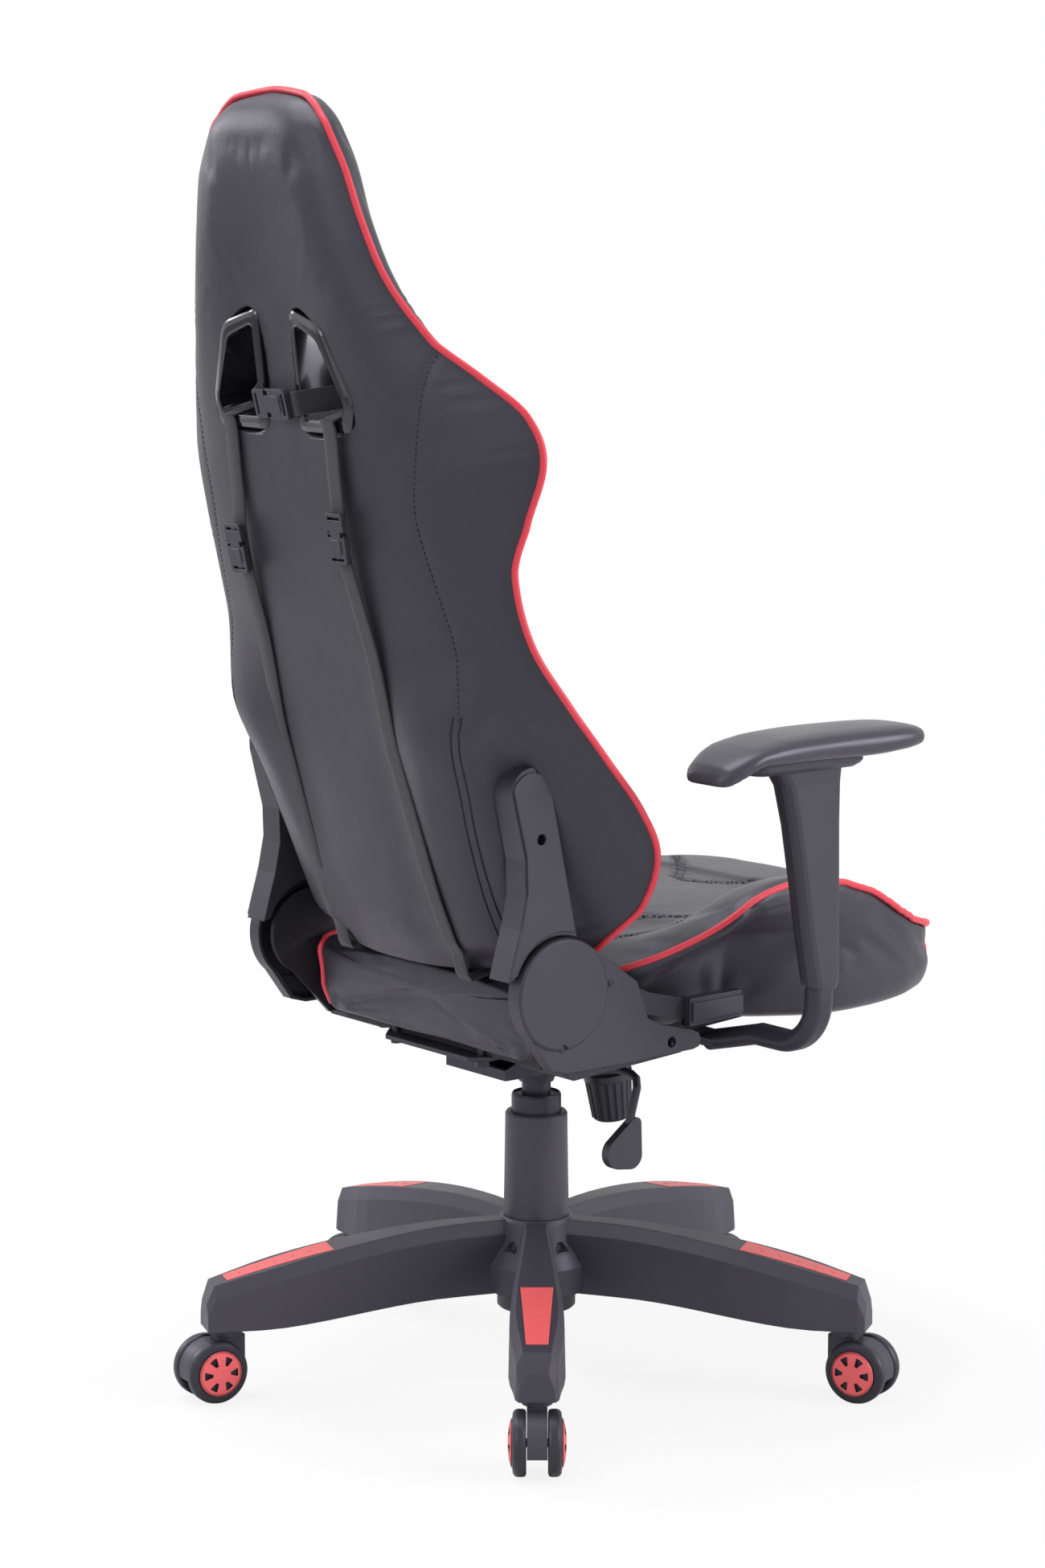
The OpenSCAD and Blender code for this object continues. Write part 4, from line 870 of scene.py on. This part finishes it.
# Lines on the right half of the back, mm in its leaning frame: place across and height
SEAM_LINE = [(185, 584), (179, 569), (170, 531), (163, 491), (157, 451), (159, 425), (165, 388),
             (173, 328), (176, 281), (176, 266)]
PLACKET_LINE = [(175, 268), (164, 216), (154, 156), (149, 105), (148, 60), (150, 24)]
PLACKET_HALF = 3.5
OPENING_LINE = [(28, 524), (28, 624), (72, 611), (103, 547), (97, 524)]
HEAD_SEAM = [(118, 500), (112, 560), (100, 640), (82, 700), (40, 735), (0, 742)]
TWIN_STITCH = 0.0034
# The most that the cover swells on the taut rear and on the front
REAR_SWELL = 0.0016
FRONT_SWELL = 0.006


class ChairBack(bpy.types.Operator):
    """Upholstery of the back: skin, piping, side seams and stitches"""

    bl_idname = "chair.back_upholstery"
    bl_label = "Back upholstery"

    def execute(self, context):
        props = settings()
        skin = back_skin("back_upholstery")
        where = local(OFF_BACK, coords(skin.data))
        width = np.array([back_row(z)[0] for z in where[:, 2]])
        u = np.clip(np.abs(where[:, 0]) / width, 0, 1)
        rear_line = np.array([
            rear_y(back_row(z), min(abs(x), w)) + fullness(z, abs(x))
            for x, z, w in zip(where[:, 0], where[:, 2], width)
        ])
        on_rear = np.abs(where[:, 1] - rear_line) < 1.0
        cap = np.where(on_rear, REAR_SWELL * ease(0, 1, (1 - u) / 0.12),
                       FRONT_SWELL * ease(0, 1, (1 - u) / 0.1))
        hole = np.hypot((np.abs(where[:, 0]) - 58) / 48, (where[:, 2] - 572) / 62)
        cap = cap * ease(0, 1, (hole - 1.0) / 0.5)
        cap = cap * ease(0, 1, (where[:, 2] - 20) / 60) * ease(0, 1, (806 - where[:, 2]) / 50)
        pins = cap < 0.0002
        swell(skin, 4.0, cap, pins)
        subdivided(skin)
        cutter = self.opening_cutter()
        mod = skin.modifiers.new("Openings", "BOOLEAN")
        mod.operation = "DIFFERENCE"
        mod.solver = "EXACT"
        mod.object = cutter
        baked(skin)
        bpy.data.objects.remove(cutter)
        skin.data.shade_smooth()
        tree = surface_tree(skin)
        seams, placket = [], []
        for s in (-1, 1):
            line = smooth_path([(s * x, 0, z) for x, z in SEAM_LINE], 8)
            seams.append(cast(tree, ON_BACK, line, (0, -1, 0)))
            for side in (-PLACKET_HALF, PLACKET_HALF):
                edge = smooth_path([(s * (x + side), 0, z) for x, z in PLACKET_LINE], 8)
                placket.append(cast(tree, ON_BACK, edge, (0, -1, 0)))
        carve(skin, seams + placket, 0.0012, 0.0042)
        front = [[(s * 0.52 * row_at(BACK_ROWS, z)[0], 0, z) for z in range(60, 500, 40)]
                 for s in (-1, 1)]
        front += [[(x, 0, z + 14 * (1 - abs(x) / 120)) for x in range(-120, 121, 24)]
                  for z in (300, 385)]
        front += [[(s * x, 0, z) for x, z in HEAD_SEAM] for s in (-1, 1)]
        front_lines = [cast(tree, ON_BACK, line, (0, 1, 0)) for line in front]
        carve(skin, front_lines, 0.003, 0.003)
        self.pucker(skin)
        finished(skin, "back", "leather_black", "back_cushion")
        tree = surface_tree(skin)
        SKINS["back_tree"] = tree
        SHAPES["stitch"] = stitch_shape()
        runs = [(line, 0.0) for line in seams]
        runs += [(line, off) for line in front_lines for off in (-TWIN_STITCH, TWIN_STITCH)]
        rows = [stitched(f"back_stitches_{i}", tree, line, off, props.stitch_pitch)
                for i, (line, off) in enumerate(runs)]
        # Near-black cords along each placket edge: painted shade in the fold's gap
        rows += [tube(f"placket_{i}", snapped(tree, smooth_path(line, 0.004), 0.0002)[0], 0.0008,
                      MATS["dark"], 6)
                 for i, line in enumerate(placket)]
        finished(join("back_stitching", rows), "back", "leather_black")
        self.piping(props)
        return {"FINISHED"}

    def opening_cutter(self):
        """Two prisms through the back where the openings are."""
        outline = smooth_path([(x, 0, z) for x, z in OPENING_LINE], 4, closed=True)[:-1]
        points, faces = [], []
        for s in (-1, 1):
            base = len(points)
            n = len(outline)
            loop = outline if s > 0 else outline[::-1]
            for y in (-160, 160):
                points += [ON_BACK @ Vector((s * p[0], y, p[2])) for p in loop]
            faces += [(base + i, base + (i + 1) % n, base + n + (i + 1) % n, base + n + i)
                      for i in range(n)]
            faces += [tuple(base + i for i in range(n))[::-1],
                      tuple(base + n + i for i in range(n))]
        return closed(mesh_object("opening_cutter", points, faces, MATS["leather_black"]))

    def pucker(self, skin):
        """Small folds where the cover is gathered beside the piping at the shoulders."""
        points = coords(skin.data)
        nor = normals(skin.data)
        where = local(OFF_BACK, points)
        for i, (x, y, z) in enumerate(where):
            if 395 < z < 640 or z < 110:
                near = (1 - abs(x) / back_row(z)[0]) / 0.10
                if 0 < near < 2.5 and y > -70:
                    fold = math.sin(z * 0.52 + 1.7 * math.sin(z * 0.11)) * math.sin(z * 0.043) ** 2
                    points[i] += nor[i] * 0.0004 * fold * near * math.exp(1 - near * near)
        set_coords(skin.data, points)

    def piping(self, props):
        """Cord sewn into the edge all round the back."""
        right = [(-row_at(BACK_ROWS, z)[0], row_at(BACK_ROWS, z)[1],
                  crown(z) + 1.5 * ease(0, 1, (z - 790) / 20)) for z in np.linspace(8, 814, 150)]
        top = [(x, -37.5, 812.6 - 0.004 * x * x) for x in (-14, 0, 14)]
        left = [(-x, y, z) for x, y, z in right[::-1]]
        path = [ON_BACK @ Vector(p) for p in right + top + left]
        path = smooth_path(path, 0.0035)
        cord = tube("back_piping", path, props.piping_radius, MATS["piping"], 10)
        finished(cord, "back", "leather_black")


# Seams across the seat and the piping's runs down its corners, mm in its raked frame
CROSS_SEAMS = [[(-145, -95), (-72, -48), (0, 0), (72, -48), (145, -95)],
               [(-112, -280), (-56, -238), (0, -195), (56, -238), (112, -280)]]
REAR_CORNER = [(160, 130, 13), (166, 131, 24), (168, 131, 40), (168, 131, 58), (166, 130, 72)]
FRONT_CORNER = [(187, -344, 61), (184, -350, 45), (178, -349, 25), (172, -346, 8)]
SEAT_STITCH = 0.0038


class ChairSeat(bpy.types.Operator):
    """Upholstery of the seat: skin, piping, seams and stitches"""

    bl_idname = "chair.seat_upholstery"
    bl_label = "Seat upholstery"

    def execute(self, context):
        props = settings()
        skin = seat_skin("seat_upholstery")
        where = local(OFF_SEAT, coords(skin.data))
        width, _, ridge = np.array([seat_row(-y)[:3] for y in where[:, 1]]).T
        top = (where[:, 2] > ridge - 20) & (np.abs(where[:, 0]) < width - 4) & (where[:, 1] < 128)
        side = (~top) & (where[:, 2] > 30) & (where[:, 1] < -60)
        cap = np.where(top, props.seat_swell * ease(0, 1, (width - np.abs(where[:, 0])) / 40), 0.0)
        cap = np.where(side, 0.004, cap)
        cap = np.where((where[:, 1] > 128) & (where[:, 2] > 24), 0.003, cap)
        swell(skin, 4.0, cap, cap < 0.0002)
        subdivided(skin)
        tree = surface_tree(skin)
        lines = [[(s * 0.60 * seat_row(q)[0], -q) for q in range(-110, 340, 30)] for s in (-1, 1)]
        seams = [cast(tree, ON_SEAT, [(x, y, 0) for x, y in line], (0, 0, -1))
                 for line in lines + CROSS_SEAMS]
        carve(skin, seams, 0.004, 0.0034)
        self.folds(skin)
        finished(skin, "seat", "leather_black", "seat_cushion")
        tree = surface_tree(skin)
        runs = [(line, off) for line in seams for off in (-SEAT_STITCH, SEAT_STITCH)]
        rows = [stitched(f"seat_stitches_{i}", tree, line, off, props.stitch_pitch)
                for i, (line, off) in enumerate(runs)]
        finished(join("seat_stitching", rows), "seat", "leather_black")
        cords = []
        for s in (-1, 1):
            # The right cord ends behind the hinge plate
            line = REAR_CORNER if s > 0 else REAR_CORNER[2:]
            for q in np.arange(-128, 336, 8):
                r = seat_row(q)
                line = line + [(r[0] - 3, -q, r[2] - 2)]
            line = [ON_SEAT @ Vector((s * x, y, z)) for x, y, z in line + FRONT_CORNER]
            path = snapped(tree, smooth_path(line, 0.004), 0.0012)[0]
            cords.append(tube(f"seat_piping_{s}", smooth_path(path, 0.004), props.piping_radius,
                              MATS["piping"], 10))
        finished(join("seat_piping", cords), "seat", "leather_black")
        return {"FINISHED"}

    def folds(self, skin):
        """Small upright folds where the rear panel is pulled over the board."""
        points = coords(skin.data)
        where = local(OFF_SEAT, points)
        for i, (x, y, z) in enumerate(where):
            if y > 126 and z < 48:
                low = ease(0, 1, (48 - z) / 34)
                fold = math.sin(x * 0.21 + 1.3 * math.sin(x * 0.05)) + 0.6 * math.sin(x * 0.47)
                points[i][1] += 0.0011 * low * fold
        set_coords(skin.data, points)


# Pillows: node, depth and height of the middle, half height of the welt, mm on the back
PILLOWS = (("head_pillow", -74, 521, 53), ("lumbar_pillow", -93.6, 145, 82))
SQUARENESS = 0.35


class ChairPillows(bpy.types.Operator):
    """Head and lumbar pillows, swelled as stuffed covers"""

    bl_idname = "chair.pillows"
    bl_label = "Pillows"

    def execute(self, context):
        for node, depth, height, reach in PILLOWS:
            piece = soft_form(node, node + "_cover", 0.006, 0.004)
            relax(piece, 0.5, 6)
            swell(piece, 4.0, np.full(len(piece.data.vertices), 0.007))
            subdivided(piece)
            low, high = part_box(node)
            half = (high.x - low.x) / 2
            loop = []
            for a in np.linspace(0, 2 * math.pi, 48, endpoint=False):
                c, s = math.cos(a), math.sin(a)
                x = half / MM * math.copysign(abs(c) ** SQUARENESS, c)
                z = reach * math.copysign(abs(s) ** SQUARENESS, s)
                loop.append(ON_BACK @ Vector((x * 1.02, depth, height + z * 1.02)))
            path = smooth_path(loop, 0.004, closed=True)
            path = snapped(surface_tree(piece), path)[0]
            carve(piece, [path], 0.002, 0.004)
            path = snapped(surface_tree(piece), path, 0.0006)[0]
            welt = tube(node + "_welt", smooth_path(path, 0.004), 0.0022, MATS["leather_black"], 8)
            piece.data.materials.clear()
            piece.data.materials.append(MATS["leather_black"])
            finished(piece, "back", "leather_black", node)
            finished(welt, "back", "leather_black")
        return {"FINISHED"}


class ChairStraps(bpy.types.Operator):
    """Pillow straps round the back, and the strap across the head pillow"""

    bl_idname = "chair.straps"
    bl_label = "Straps"

    def execute(self, context):
        tree = SKINS["back_tree"]
        out = (ON_BACK.to_3x3() @ Vector((0, 1, 0))).normalized()
        pieces = []
        for s in (-1, 1):
            stations = [(z, *row_at(STRAP_ROWS, z)) for z in np.arange(515, 20, -11.0)]
            stations = [(z, x, lift * ease(0.3, 1, (z - 200) / 230)) for z, x, lift in stations]
            rear = cast(tree, ON_BACK, [(s * x, 0, z) for z, x, _ in stations], (0, -1, 0))
            lifts = np.array([lift for _, _, lift in stations])
            rear = rear + np.array(out)[None] * lifts[:, None] * MM
            row = row_at(BACK_ROWS, 528)
            near, far = front_y(row, 79) - 3.2, rear_y(row, 69) + 3.2
            ends = ((near - 1.6, 528), (near - 0.6, 533.6), (far + 0.6, 533.6), (far + 1.6, 528))
            over = [np.array(ON_BACK @ Vector((s * 79, y, z))) for y, z in ends]
            front = cast(tree, ON_BACK, [(s * 92, 0, z) for z in range(240, 520, 25)], (0, 1, 0))
            front = front - np.array(out)[None] * 0.0012
            under = [ON_BACK @ Vector((s * 93, q[0], q[1])) for q in
                     ((20, 6), (10, 3.5), (-20, 3.5), (-50, 3.5), (-61, 5))]
            low = cast(tree, ON_BACK, [(s * 93, 0, z) for z in (22, 50)], (0, 1, 0))
            path = np.array([*front, *over, *rear, *under, *low])
            path = smooth_path(path, 0.006)
            pieces.append(band(f"strap_{s}", path, (s, 0, 0.0), STRAP_WIDTH, 0.0004))
        depth = rear_y(row_at(BACK_ROWS, 547), 33) + 8.2
        path = []
        for x in (-95, -62, -38, -32, -15, 0, 15, 32, 38, 62, 95):
            back = 28 + (abs(x) - 62) * 0.9 if abs(x) > 62 else max(0, abs(x) - 32) * 0.93
            path.append(ON_BACK @ Vector((x, depth - back, 547)))
        path = smooth_path(path, 0.004)
        up = (ON_BACK.to_3x3() @ Vector((0, 0, 1))).normalized()
        pieces.append(band("strap_neck", path, up, NECK_WIDTH, 0.0))
        finished(join("pillow_straps", pieces), "back", "webbing", "back_straps")
        return {"FINISHED"}


class ChairArmPads(bpy.types.Operator):
    """Soft-skinned arm pads"""

    bl_idname = "chair.arm_pads"
    bl_label = "Arm pads"

    def execute(self, context):
        for side in ("r", "l"):
            pad = soft_form("arm_pad_" + side, "arm_pad_skin_" + side, 0.003)
            relax(pad, 0.5, 4)
            pad.data.materials.clear()
            pad.data.materials.append(MATS["pad"])
            pad.data.shade_smooth()
            body = "arm_" + side
            finished(pad, body, "pad_pu", "arm_pad_" + side)
        return {"FINISHED"}


class ChairFasteners(bpy.types.Operator):
    """Screws in the hinge covers"""

    bl_idname = "chair.fasteners"
    bl_label = "Fasteners"

    def execute(self, context):
        shape = screw_shape()
        points, along, up = [], [], []
        for s in (-1, 1):
            for y, z in ((-56, 3), (1, -50)):
                points.append(HINGE + Vector((s * (0.212 - 0.0033), y * MM, z * MM)))
                along.append((0, 1, 0.2))
                up.append((s, 0, 0))
        screws = repeated("cover_screws", shape, points, along, up, MATS["metal"])
        finished(screws, "seat", "black_metal")
        return {"FINISHED"}


# A wheel cap is domed: its bulge, its radius, and its height at shares of the radius. Six
# windows are open between the cap's spokes, whose half widths grow outwards
CAP_BULGE = 3.8 * MM
CAP_RADIUS = 21.6 * MM
CAP_PROFILE = [(0.0, 1.0), (0.2, 0.98), (0.35, 0.94), (0.42, 0.9), (0.55, 0.8), (0.7, 0.68),
               (0.8, 0.52), (0.9, 0.35), (1.0, 0.17)]
WINDOW_SHARES = (0.42, 0.8)
SPOKE_HALVES = (1.4, 4.2)
WINDOWS = 6


class ChairWheelCaps(bpy.types.Operator):
    """Red faces of the wheels' hub caps, open at their six windows"""

    bl_idname = "chair.wheel_caps"
    bl_label = "Wheel caps"

    def execute(self, context):
        for i in range(1, 6):
            for side in "ab":
                node = f"castor_{i}_wheel_{side}"
                joint = JOINTS[f"wheel_{i}{side}_roll"]
                cap = self.cap(f"wheel_cap_{i}{side}", frame["nodes"][node], joint)
                finished(cap, f"wheel_{i}{side}", "red_plastic")
        return {"FINISHED"}

    def cap(self, name, wheel, joint):
        centre, axis = np.array(joint["pos_m"]), np.array(joint["axis"])
        out = (coords(wheel.data) - centre) @ axis
        if out.mean() < 0:
            axis, out = -axis, -out
        face = out.max() - CAP_BULGE
        first = np.cross((0, 0, 1), axis)
        first /= np.linalg.norm(first)
        second = np.cross(axis, first)
        turns = (-30, -24, -17, None, -5, 5, None, 17, 24)
        points, faces = [], []
        for layer in (0.00028, 0.00004):
            for r, h in CAP_PROFILE:
                half = math.degrees(math.atan(np.interp(r, WINDOW_SHARES, SPOKE_HALVES) * MM
                                              / (max(r, WINDOW_SHARES[0]) * CAP_RADIUS)))
                for k in range(WINDOWS):
                    for t, turn in enumerate(turns):
                        a = turn if turn is not None else (-half if t == 3 else half)
                        a = math.radians(a + 360 / WINDOWS * k)
                        radial = first * math.cos(a) + second * math.sin(a)
                        points.append(centre + axis * (face + CAP_BULGE * h + layer)
                                      + radial * r * CAP_RADIUS)
        count, rings = WINDOWS * len(turns), len(CAP_PROFILE)
        for j in range(rings - 1):
            for i in range(count):
                if 3 <= j < 6 and 3 <= i % len(turns) < 6:
                    continue
                k = (i + 1) % count
                a, b, c, d = j * count + i, j * count + k, (j + 1) * count + k, (j + 1) * count + i
                low = rings * count
                faces += [(a, b, c, d), (a + low, d + low, c + low, b + low)]
        edge = (rings - 1) * count
        for i in range(count):
            k = (i + 1) % count
            faces.append((edge + i, edge + k, edge + k + rings * count, edge + i + rings * count))
        obj = mesh_object(name, np.array(points), faces, MATS["red"])
        merged(obj.data, 1e-6)
        return closed(obj)


# Area lights: name, place, what it faces, size, power
LIGHTS = (
    ("key", (-3.3, -2.2, 1.9), (0, 0, 0.7), 2.2, 118),
    ("fill", (-0.6, 4.2, 2.5), (0, 0, 0.9), 2.2, 44),
    ("top", (0.6, 0.4, 3.6), (0, 0, 0.6), 2.4, 76),
    ("side", (3.2, 1.4, 2.2), (0, 0, 0.8), 1.6, 45),
)
LIGHT_COLOR = (0.965, 0.95, 1.0)
WORLD_LIGHT = 0.32
CAMERA_PLACE = (-2.7919, 2.2338, 1.1091)
CAMERA_AZIMUTH = math.radians(231.55)
CAMERA_DROP = math.radians(8.53)
CAMERA_LENS = 87.2
SENSOR_HEIGHT = 36
FLOOR_REACH = 9.0
# The floor fades to white between two distances, from one share of white to the other
FADE = (0.7, 2.6, 0.86, 1.0)


class ChairStage(bpy.types.Operator):
    """Floor, lights, world and camera"""

    bl_idname = "chair.stage"
    bl_label = "Stage"

    def execute(self, context):
        scene = context.scene
        scene.view_settings.view_transform = "Standard"
        self.floor()
        self.world(scene)
        for name, place, target, size, power in LIGHTS:
            light = bpy.data.lights.new(name, "AREA")
            light.shape = "DISK"
            light.size = size
            light.energy = power
            light.color = LIGHT_COLOR
            obj = bpy.data.objects.new(name, light)
            obj.location = place
            aim = Vector(target) - Vector(place)
            obj.rotation_euler = aim.to_track_quat("-Z", "Y").to_euler()
            scene.collection.objects.link(obj)
        camera = bpy.data.cameras.new("camera")
        camera.sensor_fit = "VERTICAL"
        camera.sensor_height = SENSOR_HEIGHT
        camera.lens = CAMERA_LENS
        obj = bpy.data.objects.new("camera", camera)
        obj.location = CAMERA_PLACE
        azimuth, drop = CAMERA_AZIMUTH, CAMERA_DROP
        way = Vector((-math.sin(azimuth) * math.cos(drop), math.cos(azimuth) * math.cos(drop),
                      -math.sin(drop)))
        obj.rotation_euler = way.to_track_quat("-Z", "Y").to_euler()
        scene.collection.objects.link(obj)
        scene.camera = obj
        return {"FINISHED"}

    def floor(self):
        """Pale floor that keeps the shadow near the chair and fades to white further out."""
        mat = bpy.data.materials.new("floor")
        mat.use_nodes = True
        tree = mat.node_tree
        link = tree.links.new
        shader = tree.nodes["Principled BSDF"]
        shader.inputs["Base Color"].default_value = (0.9, 0.9, 0.9, 1)
        shader.inputs["Roughness"].default_value = 0.8
        glow = added(tree, "ShaderNodeEmission", Strength=1.0)
        seen = added(tree, "ShaderNodeLightPath").outputs["Is Camera Ray"]
        where = added(tree, "ShaderNodeTexCoord").outputs["Object"]
        reach = added(tree, "ShaderNodeVectorMath", operation="LENGTH")
        link(where, reach.inputs[0])
        fade = added(tree, "ShaderNodeMapRange", From_Min=FADE[0], From_Max=FADE[1],
                     To_Min=FADE[2], To_Max=FADE[3])
        link(reach.outputs["Value"], fade.inputs["Value"])
        share = added(tree, "ShaderNodeMath", operation="MULTIPLY")
        link(seen, share.inputs[0])
        link(fade.outputs["Result"], share.inputs[1])
        self.mixed(tree, share, shader.outputs["BSDF"], glow.outputs["Emission"],
                   tree.nodes["Material Output"])
        r = FLOOR_REACH
        corners = [(-r, -r, 0), (r, -r, 0), (r, r, 0), (-r, r, 0)]
        mesh_object("floor", corners, [(0, 1, 2, 3)], mat, False)

    def mixed(self, tree, share, first, second, output):
        """Mixes two shaders by a share and sends them to the output."""
        mix = added(tree, "ShaderNodeMixShader")
        tree.links.new(share.outputs["Value"], mix.inputs["Fac"])
        tree.links.new(first, mix.inputs[1])
        tree.links.new(second, mix.inputs[2])
        tree.links.new(mix.outputs["Shader"], output.inputs["Surface"])

    def world(self, scene):
        """White where it is seen or mirrored, and dimmer as a light."""
        world = bpy.data.worlds.new("world")
        scene.world = world
        world.use_nodes = True
        tree = world.node_tree
        white = (1, 1, 1, 1)
        lit = tree.nodes["Background"]
        lit.inputs["Color"].default_value = white
        lit.inputs["Strength"].default_value = WORLD_LIGHT
        plain = added(tree, "ShaderNodeBackground", Color=white, Strength=1.0)
        path = added(tree, "ShaderNodeLightPath")
        through, seen = (added(tree, "ShaderNodeMath", operation="MAXIMUM") for _ in range(2))
        for source, node, k in (
            (path.outputs["Is Camera Ray"], through, 0),
            (path.outputs["Is Transmission Ray"], through, 1),
            (through.outputs["Value"], seen, 0),
            (path.outputs["Is Glossy Ray"], seen, 1),
        ):
            tree.links.new(source, node.inputs[k])
        self.mixed(tree, seen, lit.outputs["Background"], plain.outputs["Background"],
                   tree.nodes["World Output"])


class ChairPanel(bpy.types.Panel):
    """Lists the chair's operators"""

    bl_idname = "VIEW3D_PT_chair"
    bl_label = "Chair"
    bl_space_type = "VIEW_3D"
    bl_region_type = "UI"
    bl_category = "Chair"

    def draw(self, context):
        for prop in ("leather_color", "accent_color", "leather_roughness", "piping_radius",
                     "seat_swell", "stitch_pitch"):
            self.layout.prop(context.scene.chair, prop)
        for op in OPERATORS:
            self.layout.operator(op.bl_idname)


OPERATORS = (ChairFinishes, ChairBack, ChairSeat, ChairPillows, ChairStraps, ChairArmPads,
             ChairFasteners, ChairWheelCaps, ChairStage)
CLASSES = (ChairSettings, *OPERATORS, ChairPanel)


def register():
    for cls in CLASSES:
        bpy.utils.register_class(cls)
    bpy.types.Scene.chair = bpy.props.PointerProperty(type=ChairSettings)


def unregister():
    del bpy.types.Scene.chair
    for cls in reversed(CLASSES):
        bpy.utils.unregister_class(cls)


def main():
    register()
    bpy.ops.chair.finishes()
    bpy.ops.chair.back_upholstery()
    bpy.ops.chair.seat_upholstery()
    bpy.ops.chair.pillows()
    bpy.ops.chair.straps()
    bpy.ops.chair.arm_pads()
    bpy.ops.chair.fasteners()
    bpy.ops.chair.wheel_caps()
    bpy.ops.chair.stage()


if __name__ == "__main__":
    main()
